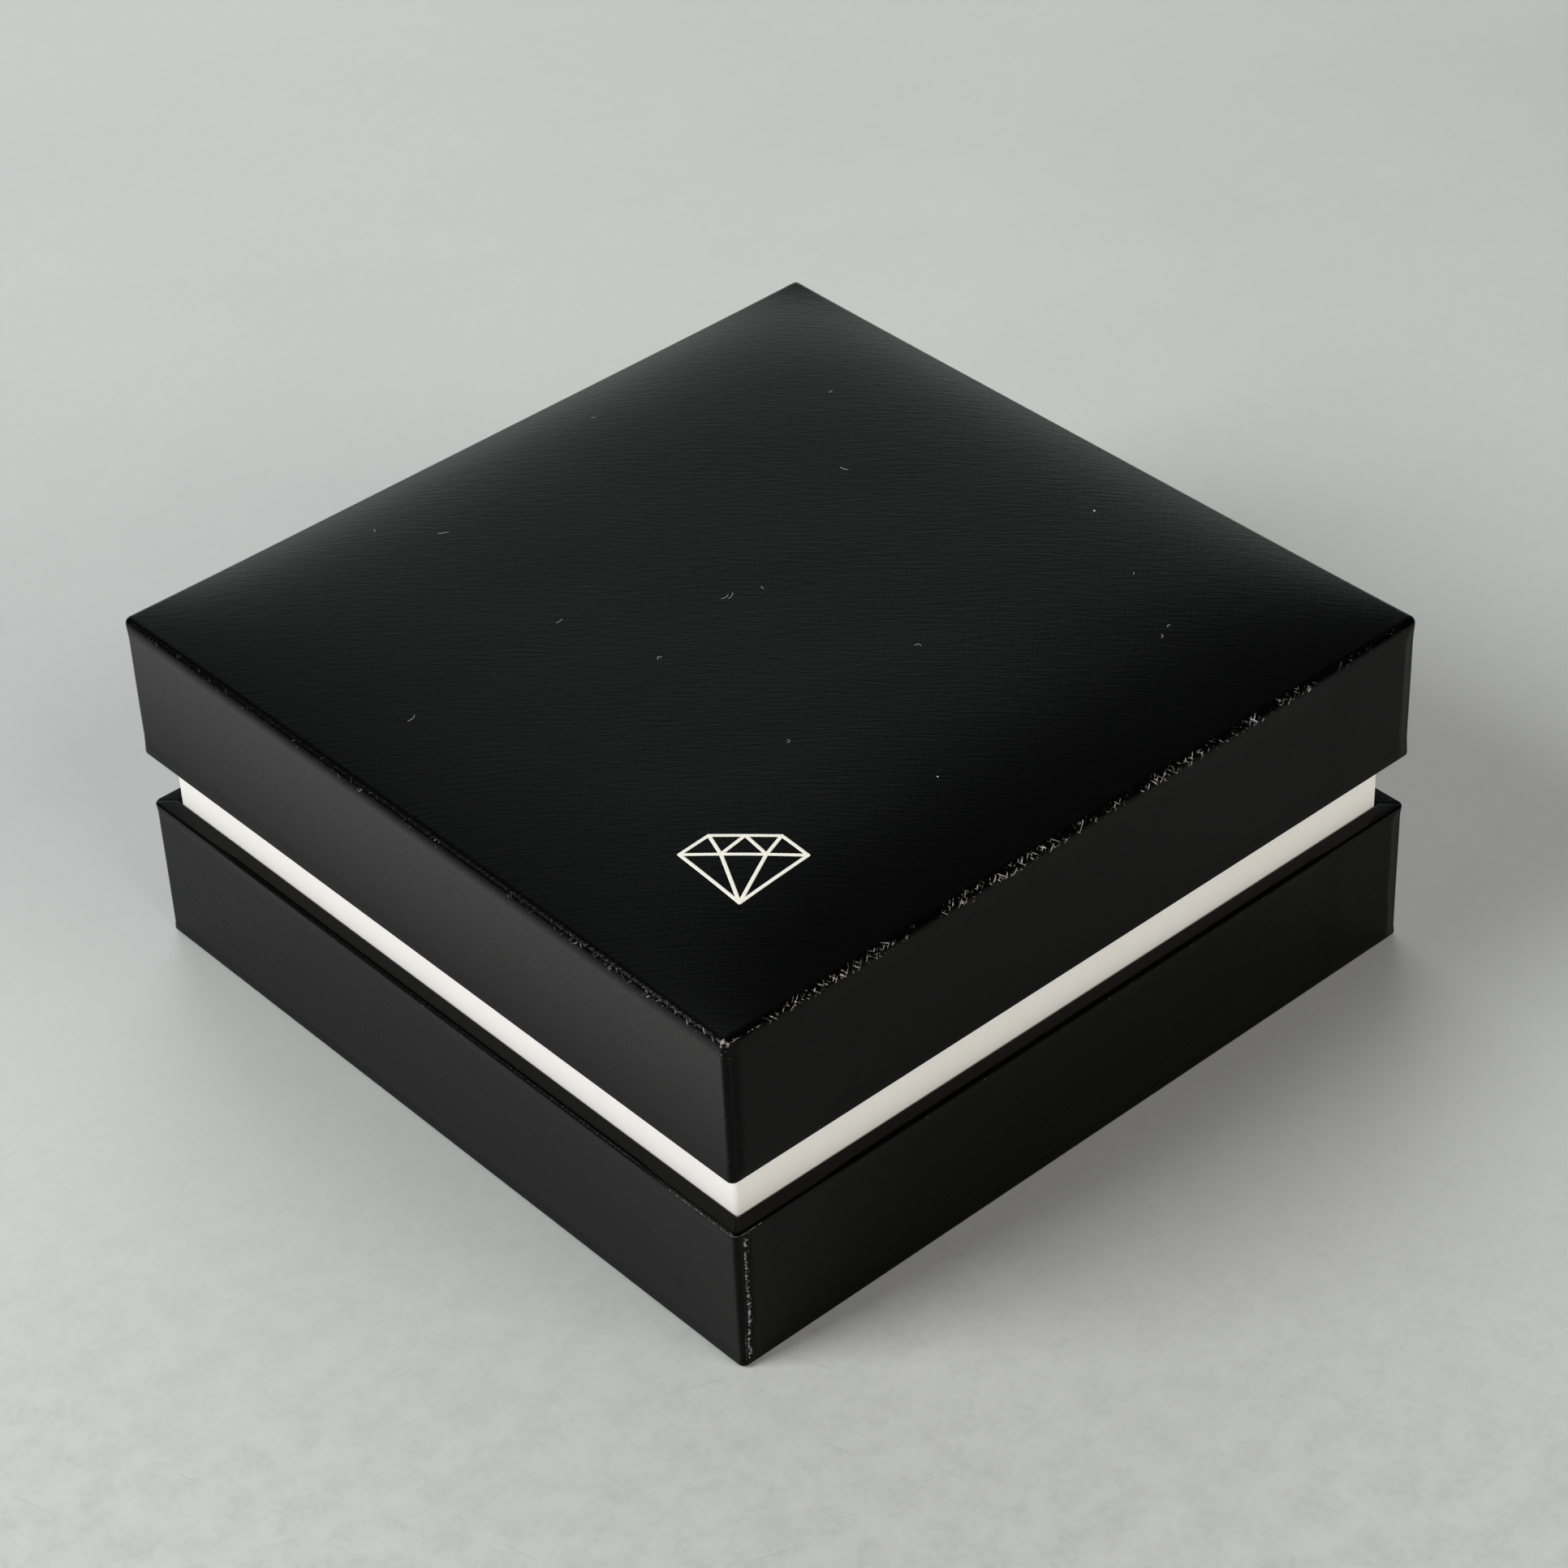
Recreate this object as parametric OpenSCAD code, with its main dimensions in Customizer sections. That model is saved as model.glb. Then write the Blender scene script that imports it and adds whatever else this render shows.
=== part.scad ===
// Square two-piece gift box for jewellery: a shallow base, a cream neck glued inside it,
// a padded lift-off lid that rests on the neck's top edge, and a lift-out velvet pad.
// The origin is the middle of the base's underside, +Z is up and the front faces -Y.

/* [Box] */
// Outside width and depth of the lid
box_side = 100; // [80:1:160]
// Height of the base's walls
base_h = 18.8; // [16:0.2:40]
// Height of the neck that shows between the base and the lid
band_h = 7; // [2:0.2:16]
// Height of the lid's walls, up to the edge of its top
lid_h = 18.6; // [16:0.2:40]
// Rise of the padded top above its four edges
crown_h = 2.6; // [1:0.1:5]

/* [Boards and papers] */
// Grey board of the base and the lid
board_t = 1.8; // [1:0.1:2.5]
// Grey board of the neck
neck_board_t = 1.2; // [0.8:0.1:2]
// Wrapping and lining paper
paper_t = 0.15; // [0.1:0.01:0.3]
// Tape over the board corners, and the glue line of the same thickness beside it
stay_t = 0.1; // [0.05:0.01:0.2]
// Reach of the tape on each side of a corner
stay_w = 9; // [5:1:14]
// Distance at which a wrap's turn-in stops short of the tray's floor or ceiling
turn_gap = 0.4; // [0.2:0.1:2]
// Width of the wrap's turn-in under the base
turn_under = 12; // [8:1:20]
// Margin between the base's edge and the sheet that covers its underside
sheet_margin = 3; // [1:0.5:6]
// Radius of the boards' outer upright corners, which the stays and the wrap follow
corner_r = 0.6; // [0.2:0.1:1]

/* [Fits] */
// Clearance on each side between the neck and the lid's inside
lid_fit = 0.15; // [0.1:0.05:0.5]
// Gap under each piece that lifts out, where it rests
seat_gap = 0.05; // [0.02:0.01:0.1]
// Clearance on each side between the neck and the pad
pad_fit = 0.5; // [0.4:0.1:1.5]

/* [Pad] */
// Card under the foam
card_t = 1; // [0.6:0.1:2]
// Height of the two foam rolls
foam_h = 17; // [10:0.5:24]
// Radius of the rolls' two long upper edges
roll_r = 5; // [2:0.5:8]
// Velvet over the foam
velvet_t = 0.6; // [0.3:0.1:1]
// Clear width of the ring groove between the velvet faces
groove_w = 4.6; // [4.2:0.2:8]
// Reach of the velvet under the card
velvet_under = 8; // [4:1:16]
// Width of the ribbon tab
ribbon_w = 10; // [6:1:16]
// Thickness of the ribbon
ribbon_t = 0.25; // [0.1:0.05:0.3]
// Length of the ribbon that lies on the pad, from its front edge
ribbon_reach = 24; // [12:1:34]

/* [Lid padding] */
// Thickness that the foam keeps at the lid's edges
foam_edge_t = 0.4; // [0.2:0.1:1]
// How flat the middle of the top is: 2 is a plain arch, higher is flatter
crown_power = 6; // [4:1:8]

/* [Hidden] */
$fn = 48;
crown_steps = 20;

board_grey = "#9a948a";
wrap_black = "#1b1b1c";
liner_black = "#242426";
neck_cream = "#f1eee4";
stay_kraft = "#b08a5c";
foam_white = "#e8e4da";
velvet_black = "#2a2a2e";
ribbon_black = "#101012";
card_white = "#dcd8cc";

// Wall build-up, from the outside in: wrap, stay or glue, board, turned-in wrap.
skin_t = paper_t + stay_t;
wall_t = skin_t + board_t + paper_t;
wrap_r = corner_r + skin_t;

// Half widths.
lid_out = box_side / 2;
crown_half = lid_out - wrap_r;
base_out = lid_out - lid_fit;
base_in = base_out - wall_t;
neck_out = base_in;
neck_board_out = neck_out - paper_t;
neck_board_in = neck_board_out - neck_board_t;
neck_in = neck_board_in - paper_t;
pad_out = neck_in - pad_fit;
foam_out = pad_out - velvet_t;

// Heights of the base and the neck.
floor_z = 2 * paper_t;
floor_top = floor_z + board_t + paper_t;
lid_z = base_h + band_h;
lid_top = lid_z + lid_h;
lid_board_top = lid_top - paper_t - foam_edge_t;
lid_ceiling = lid_board_top - board_t - paper_t;
neck_top = lid_ceiling - seat_gap;

// Heights of the pad.
pad_z = floor_top + seat_gap;
card_z = pad_z + velvet_t;
foam_z = card_z + card_t;
groove_gap = groove_w + 2 * velvet_t;
roll_depth = foam_out - groove_gap / 2;
roll_y = groove_gap / 2 + roll_depth / 2;

// ---------- shared shapes ----------

// Upright block, square in plan, centred on the origin.
module slab(half, z, h) {
    translate([-half, -half, z]) cube([2 * half, 2 * half, h]);
}

// The same block with its upright corners rounded.
module round_slab(half, r, z, h) {
    translate([-half + r, -half, z]) cube([2 * (half - r), 2 * half, h]);
    translate([-half, -half + r, z]) cube([2 * half, 2 * (half - r), h]);
    for (x = [-1, 1], y = [-1, 1])
        translate([x * (half - r), y * (half - r), z]) cylinder(r = r, h = h);
}

// Board wall along one side: side 0 is the front, 1 the right, 2 the back and 3 the left.
// The front and back walls run the whole width, and the other two stand between them.
module wall_board(side, half, r, t, z, h) {
    reach = side % 2 == 0 ? half : half - t;
    rotate([0, 0, 90 * side]) intersection() {
        translate([-reach, -half, z]) cube([2 * reach, t, h]);
        round_slab(half, r, z, h);
    }
}

// Tape folded round the four upright corners of a tray of boards.
module corner_stays(half, z, h) {
    difference() {
        round_slab(half + stay_t, corner_r + stay_t, z, h);
        round_slab(half, corner_r, z - 1, h + 2);
        for (turn = [0, 90]) rotate([0, 0, turn])
            translate([-half + stay_w, -half - 1, z - 1]) cube([2 * (half - stay_w), 2 * half + 2, h + 2]);
    }
}

// Paper round a tray's walls: outer skin, folded edge and turn-in, as a ring with a channel
// for the boards. up is 1 where the wall's free edge is its top, and 0 where it is its bottom.
module wall_wrap(half, z, h, turn_in, up) {
    fold_z = up == 1 ? z + h - paper_t : z;
    turn_z = up == 1 ? z + h - turn_in : z;
    difference() {
        round_slab(half, wrap_r, z, h);
        round_slab(half - paper_t, wrap_r - paper_t, z - 1, h + 2);
    }
    difference() {
        round_slab(half - paper_t / 2, wrap_r - paper_t / 2, fold_z, paper_t);
        slab(half - wall_t, fold_z - 1, paper_t + 2);
    }
    difference() {
        slab(half - wall_t + paper_t, turn_z, turn_in);
        slab(half - wall_t, turn_z - 1, turn_in + 2);
    }
}

// Height of the padded top above its edges, at a point given as a share of the half width.
function crown(u, v) = crown_h * (1 - pow(abs(u), crown_power)) * (1 - pow(abs(v), crown_power));

// Solid with a crowned top on a square plan, over a flat or equally crowned underside.
// The sine spaces its rows closer near the edges, where the padding curves most.
module crowned_slab(low_z, high_z, low_is_crowned) {
    n = crown_steps;
    row = n + 1;
    share = [for (i = [0:n]) sin(90 * (2 * i / n - 1))];
    points = [for (level = [0, 1], j = [0:n], i = [0:n]) let (rise = crown(share[i], share[j]))
        [crown_half * share[i], crown_half * share[j],
            level == 1 ? high_z + rise : low_z + (low_is_crowned ? rise : 0)]];
    function at(level, i, j) = level * row * row + j * row + i;
    cells = [for (j = [0:n - 1], i = [0:n - 1]) [i, j]];
    top = [for (c = cells) each [
        [at(1, c[0], c[1]), at(1, c[0] + 1, c[1] + 1), at(1, c[0] + 1, c[1])],
        [at(1, c[0], c[1]), at(1, c[0], c[1] + 1), at(1, c[0] + 1, c[1] + 1)]]];
    bottom = [for (c = cells) each [
        [at(0, c[0], c[1]), at(0, c[0] + 1, c[1]), at(0, c[0] + 1, c[1] + 1)],
        [at(0, c[0], c[1]), at(0, c[0] + 1, c[1] + 1), at(0, c[0], c[1] + 1)]]];
    sides = [for (i = [0:n - 1]) each [
        [at(0, i + 1, 0), at(0, i, 0), at(1, i, 0), at(1, i + 1, 0)],
        [at(0, i, n), at(0, i + 1, n), at(1, i + 1, n), at(1, i, n)],
        [at(0, 0, i), at(0, 0, i + 1), at(1, 0, i + 1), at(1, 0, i)],
        [at(0, n, i + 1), at(0, n, i), at(1, n, i), at(1, n, i + 1)]]];
    polyhedron(points, concat(top, bottom, sides));
}

// ---------- base ----------

module base_bottom_sheet() {
    color(liner_black) slab(base_out - sheet_margin, 0, paper_t);
}

module base_wrap() {
    color(wrap_black) {
        wall_wrap(base_out, paper_t, base_h - paper_t, base_h - floor_top - turn_gap, 1);
        difference() {
            round_slab(base_out - paper_t / 2, wrap_r - paper_t / 2, paper_t, paper_t);
            slab(base_out - turn_under, 0, 1);
        }
    }
}

base_board_out = base_out - skin_t;
base_board_in = base_board_out - board_t;
base_board_h = base_h - paper_t - floor_z;

module base_floor_board() {
    color(board_grey) slab(base_board_in, floor_z, board_t);
}

module base_wall_board(side) {
    color(board_grey) wall_board(side, base_board_out, corner_r, board_t, floor_z, base_board_h);
}

module base_corner_stays() {
    color(stay_kraft) corner_stays(base_board_out, floor_z, base_board_h);
}

module base_floor_liner() {
    color(liner_black) slab(base_board_in, floor_z + board_t, paper_t);
}

// ---------- neck ----------

neck_board_h = neck_top - paper_t - floor_top;

module neck_board(side) {
    color(board_grey)
        wall_board(side, neck_board_out, corner_r, neck_board_t, floor_top, neck_board_h);
}

// Cream paper over both faces and the top edge of the neck boards.
module neck_wrap() {
    h = neck_top - floor_top;
    color(neck_cream) {
        difference() {
            round_slab(neck_out, corner_r + paper_t, floor_top, h);
            round_slab(neck_board_out, corner_r, floor_top - 1, h + 2);
        }
        difference() {
            round_slab(neck_out - paper_t / 2, corner_r + paper_t / 2, neck_top - paper_t, paper_t);
            slab(neck_in, neck_top - 1, 2);
        }
        difference() {
            slab(neck_board_in, floor_top, h);
            slab(neck_in, floor_top - 1, h + 2);
        }
    }
}

// ---------- pad ----------

// Upright section with rounded upper corners, standing on y = 0.
module arch_section(w, h, r) {
    translate([-w / 2, 0]) square([w, h - r]);
    translate([-w / 2 + r, 0]) square([w - 2 * r, h]);
    for (x = [-1, 1]) translate([x * (w / 2 - r), h - r]) circle(r);
}

// Foam roll along X, or the same roll grown on its sides, ends and top by the cover's thickness.
module foam_roll(grow) {
    length = 2 * (foam_out + grow);
    translate([-length / 2, 0, 0]) rotate([90, 0, 90])
        linear_extrude(length) arch_section(roll_depth + 2 * grow, foam_h + grow, roll_r + grow);
}

module pad_roll(side, grow) {
    translate([0, side * roll_y, foam_z]) foam_roll(grow);
}

module pad_foam_roll(side) {
    color(foam_white) pad_roll(side, 0);
}

module pad_card() {
    color(card_white) slab(foam_out, card_z, card_t);
}

// One sheet of velvet: over both rolls, down into the groove, down the sides and under the card.
module pad_velvet_cover() {
    color(velvet_black) {
        for (side = [-1, 1]) difference() {
            pad_roll(side, velvet_t);
            pad_roll(side, 0);
        }
        translate([-pad_out, -groove_gap / 2, foam_z]) cube([2 * pad_out, groove_gap, velvet_t]);
        difference() {
            slab(pad_out, pad_z, foam_z - pad_z);
            slab(foam_out, card_z, card_t + 1);
            slab(pad_out - velvet_under, pad_z - 1, velvet_t + 2);
        }
    }
}

// Satin ribbon up the pad's front face, round its edge and back along the top of the front roll.
module pad_ribbon_tab() {
    color(ribbon_black) translate([-ribbon_w / 2, 0, 0]) rotate([90, 0, 90]) linear_extrude(ribbon_w)
        intersection() {
            translate([-roll_y, foam_z]) difference() {
                arch_section(roll_depth + 2 * (velvet_t + ribbon_t), foam_h + velvet_t + ribbon_t,
                    roll_r + velvet_t + ribbon_t);
                translate([0, -1]) arch_section(roll_depth + 2 * velvet_t, foam_h + velvet_t + 1,
                    roll_r + velvet_t);
            }
            translate([-pad_out - ribbon_t, foam_z]) square([ribbon_reach, foam_h + velvet_t + ribbon_t]);
        }
}

// ---------- lid ----------

lid_board_out = lid_out - skin_t;
lid_board_in = lid_board_out - board_t;
lid_board_z = lid_z + paper_t;
lid_board_h = lid_board_top - lid_board_z;

module lid_wrap() {
    color(wrap_black) {
        wall_wrap(lid_out, lid_z, lid_h - paper_t, lid_ceiling - turn_gap - lid_z, 0);
        crowned_slab(lid_top - paper_t, lid_top, true);
        difference() {
            round_slab(lid_out, wrap_r, lid_top - paper_t, paper_t);
            slab(crown_half, lid_top - 1, 2);
        }
    }
}

module lid_top_board() {
    color(board_grey) slab(lid_board_in, lid_board_top - board_t, board_t);
}

module lid_wall_board(side) {
    color(board_grey) wall_board(side, lid_board_out, corner_r, board_t, lid_board_z, lid_board_h);
}

module lid_corner_stays() {
    color(stay_kraft) corner_stays(lid_board_out, lid_board_z, lid_board_h);
}

module lid_foam_pad() {
    color(foam_white)
        crowned_slab(lid_board_top, lid_board_top + foam_edge_t - seat_gap, false);
}

module lid_ceiling_liner() {
    color(liner_black) slab(lid_board_in, lid_ceiling, paper_t);
}

base_bottom_sheet();
base_wrap();
base_floor_board();
base_wall_board(0);  // base_front_wall_board
base_wall_board(1);  // base_right_wall_board
base_wall_board(2);  // base_back_wall_board
base_wall_board(3);  // base_left_wall_board
base_corner_stays();
base_floor_liner();
neck_board(0);  // neck_front_board
neck_board(1);  // neck_right_board
neck_board(2);  // neck_back_board
neck_board(3);  // neck_left_board
neck_wrap();
pad_card();
pad_foam_roll(-1);  // pad_front_foam_roll
pad_foam_roll(1);  // pad_back_foam_roll
pad_velvet_cover();
pad_ribbon_tab();
lid_wrap();
lid_top_board();
lid_wall_board(0);  // lid_front_wall_board
lid_wall_board(1);  // lid_right_wall_board
lid_wall_board(2);  // lid_back_wall_board
lid_wall_board(3);  // lid_left_wall_board
lid_corner_stays();
lid_foam_pad();
lid_ceiling_liner();
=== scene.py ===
# %% [markdown]
# # A jewelry gift box, from the inside out
# A rigid gift box is a small building: grey boards for walls, a thin paper skin that is wrapped
# over them and turned in, a cream neck that the lid slides over, and a soft pad inside. The
# boards come from the imported CAD frame. This notebook adds what a box maker's hands add: the
# embossed paper, its folds and worn edges, the stuffed velvet pad, the satin tab and the foil.
# Some pale flecks on the edges are painted glints, and the black side walls carry a painted sheen.

# %% Load the imported frame
import math
import bmesh
import bpy
import numpy as np
from mathutils import Matrix, Vector


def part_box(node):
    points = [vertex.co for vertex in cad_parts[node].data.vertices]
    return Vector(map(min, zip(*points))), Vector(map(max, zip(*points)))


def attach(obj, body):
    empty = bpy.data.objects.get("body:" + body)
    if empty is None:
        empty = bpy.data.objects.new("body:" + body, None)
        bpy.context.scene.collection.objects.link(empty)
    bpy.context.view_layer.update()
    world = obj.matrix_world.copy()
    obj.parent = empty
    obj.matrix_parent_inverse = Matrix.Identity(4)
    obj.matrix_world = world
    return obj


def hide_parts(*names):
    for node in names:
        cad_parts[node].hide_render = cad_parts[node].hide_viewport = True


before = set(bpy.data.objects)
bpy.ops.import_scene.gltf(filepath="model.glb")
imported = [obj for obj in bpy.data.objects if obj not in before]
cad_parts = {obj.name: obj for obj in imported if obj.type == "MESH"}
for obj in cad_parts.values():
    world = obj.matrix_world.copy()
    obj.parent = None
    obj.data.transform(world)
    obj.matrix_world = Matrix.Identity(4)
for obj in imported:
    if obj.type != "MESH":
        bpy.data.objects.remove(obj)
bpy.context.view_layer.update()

MM = 0.001

# %% [markdown]
# ## The camera
# A product picture is usually taken from above one corner with a long lens, so that the edges
# stay nearly parallel. The camera is placed by the point it looks at, how far it has gone round
# the box, how high it is, and how far it is tipped over to one side.

# %% Camera
camera_target = Vector((2.07, 0.42, 20.0)) * MM
camera_distance = 490.4 * MM
camera_round = math.radians(-40.41)
camera_height = math.radians(37.64)
camera_tip = math.radians(-2.69)

back = Vector((math.sin(camera_round) * math.cos(camera_height),
               -math.cos(camera_round) * math.cos(camera_height), math.sin(camera_height)))
level_right = Vector((math.cos(camera_round), math.sin(camera_round), 0.0))
level_up = back.cross(level_right)
right = level_right * math.cos(camera_tip) + level_up * math.sin(camera_tip)
up = back.cross(right)
camera_data = bpy.data.cameras.new("camera")
camera_data.lens, camera_data.sensor_width = 100.11, 36.0
camera_data.clip_start, camera_data.clip_end = 0.01, 50.0
camera = bpy.data.objects.new("camera", camera_data)
bpy.context.scene.collection.objects.link(camera)
turn = Matrix((right, up, back)).transposed().to_4x4()
camera.matrix_world = Matrix.Translation(camera_target + back * camera_distance) @ turn
bpy.context.scene.camera = camera
print("camera at", [round(v, 4) for v in camera.location])

# %% [markdown]
# ## Sizes that the frame gives
# Most new pieces take their place and size from the CAD nodes that they cover. A few sizes are
# the script's own, such as the slot's faces, the ribbon's cut width and the emblem's place, and
# the script was tried at one box size only. A node's box is its lowest and highest corner at rest.

# %% Sizes
def node_box(node):
    """Lowest and highest corner of a CAD node as two arrays, in metres."""
    low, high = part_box(node)
    return np.array(low), np.array(high)


lid_low, lid_high = node_box("lid_wrap")
base_low, base_high = node_box("base_wrap")
neck_low, neck_high = node_box("neck_wrap")
_, lid_board_high = node_box("lid_front_wall_board")
lid_ceiling_low, _ = node_box("lid_ceiling_liner")
_, base_floor_high = node_box("base_floor_liner")
pad_low, pad_high = node_box("pad_velvet_cover")

paper = 0.15 * MM
corner_radius = 0.85 * MM
lid_half = lid_high[0]
base_half = base_high[0]
neck_half = neck_high[0]
wall = base_half - neck_half
crown_rise = 2.6 * MM
lid_edge_z = lid_high[2] - crown_rise
print("lid half width", round(lid_half / MM, 3), "mm, wall", round(wall / MM, 3), "mm")

# %% [markdown]
# ## Arrays into meshes
# Each surface in this notebook is a grid of points: rows run along a profile, and columns run
# round the box. Numpy works the whole grid out at once. Small helpers join the grid's neighbours
# into four-cornered faces, put the arrays into a Blender mesh, and read or move its points.

# %% Grid helpers
rng = np.random.default_rng(7)


def grid_faces(rows, columns, closed):
    """Faces between neighbouring rows and columns of a grid. closed joins the last column to the first."""
    row = np.arange(rows - 1)[:, None] * columns
    column = np.arange(columns if closed else columns - 1)[None, :]
    after = (column + 1) % columns
    return np.stack([row + column, row + after, row + columns + after, row + columns + column],
                    axis=-1).reshape(-1, 4)


def new_piece(name, points, faces, material, body, replaces=(), corner_uv=None, marks=None):
    """A mesh piece from arrays: points (..., 3), faces (m, 4) and, if given, a paper coordinate for
    each corner of each face and named marks, one number for each point."""
    mesh = bpy.data.meshes.new(name)
    mesh.from_pydata(points.reshape(-1, 3).tolist(), [], faces.tolist())
    if corner_uv is not None:
        mesh.uv_layers.new(name="paper").data.foreach_set("uv", corner_uv.astype(np.float32).ravel())
    for mark, values in (marks or {}).items():
        mesh.attributes.new(mark, "FLOAT", "POINT").data.foreach_set("value", values.astype(np.float32).ravel())
    mesh.polygons.foreach_set("use_smooth", np.ones(len(mesh.polygons), dtype=bool))
    mesh.materials.append(material)
    piece = bpy.data.objects.new(name, mesh)
    bpy.context.scene.collection.objects.link(piece)
    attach(piece, body)
    if replaces:
        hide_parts(*replaces)
    print(name, len(mesh.vertices), "points", len(mesh.polygons), "faces")
    return piece


def read_points(piece):
    """Where a piece's points lie, as an array (n, 3)."""
    points = np.empty(len(piece.data.vertices) * 3)
    piece.data.vertices.foreach_get("co", points)
    return points.reshape(-1, 3)


def write_points(piece, points):
    """Moves a piece's points to new places."""
    piece.data.vertices.foreach_set("co", points.ravel())
    piece.data.update()


def smooth(value, low, high):
    """0 below low, 1 above high, and a smooth curve between them."""
    t = np.clip((value - low) / (high - low), 0, 1)
    return t * t * (3 - 2 * t)


def gentle_waves(x, y, seed, longest):
    """Smooth unevenness between -1 and 1: the mean of eight sine waves of random heading and length."""
    pick = np.random.default_rng(seed)
    total = np.zeros(np.broadcast(x, y).shape)
    for _ in range(8):
        heading, phase = pick.uniform(0, 2 * np.pi, 2)
        length = longest * pick.uniform(0.35, 1.0)
        total += np.sin(2 * np.pi * (x * np.cos(heading) + y * np.sin(heading)) / length + phase)
    return total / 8

# %% [markdown]
# ## Shader helpers
# Materials here are small networks of nodes. Effects that several papers share, such as the
# embossed crosshatch, rubbed edges and dust, are node groups with named inputs and outputs.
# Small helpers keep the wiring readable: most add one kind of node with its links and values,
# and give back its output.

# %% Node helpers
def set_inputs(tree, node, inputs):
    """Fills a node's inputs, each with another node's output, which is linked, or with a plain value."""
    for key, value in inputs.items():
        if isinstance(value, bpy.types.NodeSocket):
            tree.links.new(value, node.inputs[key])
        else:
            node.inputs[key].default_value = value
    return node


def add_node(tree, kind, inputs=None, **settings):
    """A new shader node with its settings and inputs."""
    node = tree.nodes.new(kind)
    for key, value in settings.items():
        setattr(node, key, value)
    return set_inputs(tree, node, inputs or {})


def math_node(tree, operation, first, second=0.0, third=0.0):
    """The output of one Math node."""
    return add_node(tree, "ShaderNodeMath", {0: first, 1: second, 2: third}, operation=operation).outputs[0]


def product(tree, first, *others):
    """Several values multiplied together, from left to right."""
    for other in others:
        first = math_node(tree, "MULTIPLY", first, other)
    return first


def smooth_step(tree, value, low, high, out_low=0.0, out_high=1.0):
    """value mapped from low..high to out_low..out_high along a smooth curve."""
    node = add_node(tree, "ShaderNodeMapRange", {"Value": value, "From Min": low, "From Max": high,
                                                 "To Min": out_low, "To Max": out_high},
                    interpolation_type="SMOOTHSTEP")
    return node.outputs["Result"]


def noise(tree, vector, scale, detail=2.0, roughness=0.5):
    """The height of a noise texture, about 0 to 1."""
    return add_node(tree, "ShaderNodeTexNoise", {"Vector": vector, "Scale": scale, "Detail": detail,
                                                 "Roughness": roughness}).outputs["Fac"]


def stretched(tree, vector, turn, scale):
    """vector turned about Z and scaled, so that a pattern runs along one heading."""
    return add_node(tree, "ShaderNodeMapping", {"Vector": vector, "Rotation": (0, 0, turn), "Scale": scale}
                    ).outputs["Vector"]


def bump(tree, height, strength, distance):
    """A normal tilted by the slope of height, where a height of 1 stands distance proud."""
    return add_node(tree, "ShaderNodeBump", {"Height": height, "Strength": strength, "Distance": distance}).outputs[0]


def object_place(tree):
    """Places on a piece in its own coordinates."""
    return add_node(tree, "ShaderNodeTexCoord").outputs["Object"]


def start_group(name, inputs, outputs):
    """A node group with float, colour or vector sockets. Returns the group, its inputs and its output node."""
    kinds = {"float": "NodeSocketFloat", "color": "NodeSocketColor", "vector": "NodeSocketVector"}
    group = bpy.data.node_groups.new(name, "ShaderNodeTree")
    for socket, (kind, value) in inputs.items():
        made = group.interface.new_socket(socket, in_out="INPUT", socket_type=kinds[kind])
        if value is not None:
            made.default_value = value
    for socket, kind in outputs.items():
        group.interface.new_socket(socket, in_out="OUTPUT", socket_type=kinds[kind])
    return group, group.nodes.new("NodeGroupInput").outputs, group.nodes.new("NodeGroupOutput")


def use_group(tree, group, inputs):
    """The outputs of a group placed in a material with its own values."""
    return add_node(tree, "ShaderNodeGroup", inputs, node_tree=group).outputs


def start_material(name, **values):
    """A material with one Principled shader whose plain sockets are set. Returns the material, tree and shader."""
    material = bpy.data.materials.new(name)
    material.use_nodes = True
    tree = material.node_tree
    shader = tree.nodes["Principled BSDF"]
    for key, value in values.items():
        shader.inputs[key.replace("_", " ")].default_value = value
    return material, tree, shader


def mix_color(tree, share, first, second):
    """A colour between first and second by share."""
    return add_node(tree, "ShaderNodeMix", {0: share, 6: first, 7: second}, data_type="RGBA").outputs[2]


# %% [markdown]
# ## The embossed crosshatch
# Box makers' papers are run between engraved rollers. This one is left with fine short strokes
# in two headings, both at 45 degrees to the box's edges, the first set the stronger. Noise that
# is stretched along its heading gives such strokes, never straight and never regular. The group
# puts out this height, and also thinner strokes of the same kind, for the wear and the painted
# glints on the folds.

# %% Node group: embossed crosshatch
def turned(tree, vector, degrees):
    """The two coordinates of a vector turned about Z: along and across a heading."""
    place = add_node(tree, "ShaderNodeMapping", {"Vector": vector, "Rotation": (0, 0, math.radians(degrees))})
    return add_node(tree, "ShaderNodeSeparateXYZ", {0: place.outputs["Vector"]}).outputs[:2]


def strokes(tree, vector, degrees, length, width, seed):
    """Noise whose grains are long along one heading and narrow across it, 0 to 1."""
    along, across = turned(tree, vector, degrees)
    grains = add_node(tree, "ShaderNodeCombineXYZ", {0: math_node(tree, "DIVIDE", along, length),
                                                     1: math_node(tree, "DIVIDE", across, width), 2: seed})
    return noise(tree, grains.outputs[0], 1.0, 2.0, 0.55)


emboss_group, given, result = start_group("embossed_crosshatch", {"Vector": ("vector", None)},
                                          {"Height": "float", "Line": "float"})
tree = emboss_group
strong = strokes(tree, given["Vector"], 45, 3.0 * MM, 0.42 * MM, 1.0)
weak = strokes(tree, given["Vector"], -45, 2.4 * MM, 0.42 * MM, 8.0)
fine = noise(tree, given["Vector"], 3200.0, 2.0, 0.6)
height = math_node(tree, "ADD", product(tree, strong, 0.70), product(tree, weak, 0.38))
height = math_node(tree, "ADD", height, product(tree, fine, 0.10))
line = math_node(tree, "MAXIMUM", strokes(tree, given["Vector"], 45, 1.3 * MM, 0.19 * MM, 2.0),
                 strokes(tree, given["Vector"], -45, 1.3 * MM, 0.19 * MM, 5.0))
set_inputs(tree, result, {"Height": height, "Line": smooth_step(tree, line, 0.56, 0.78)})
print("crosshatch group:", len(tree.nodes), "nodes")
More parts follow.
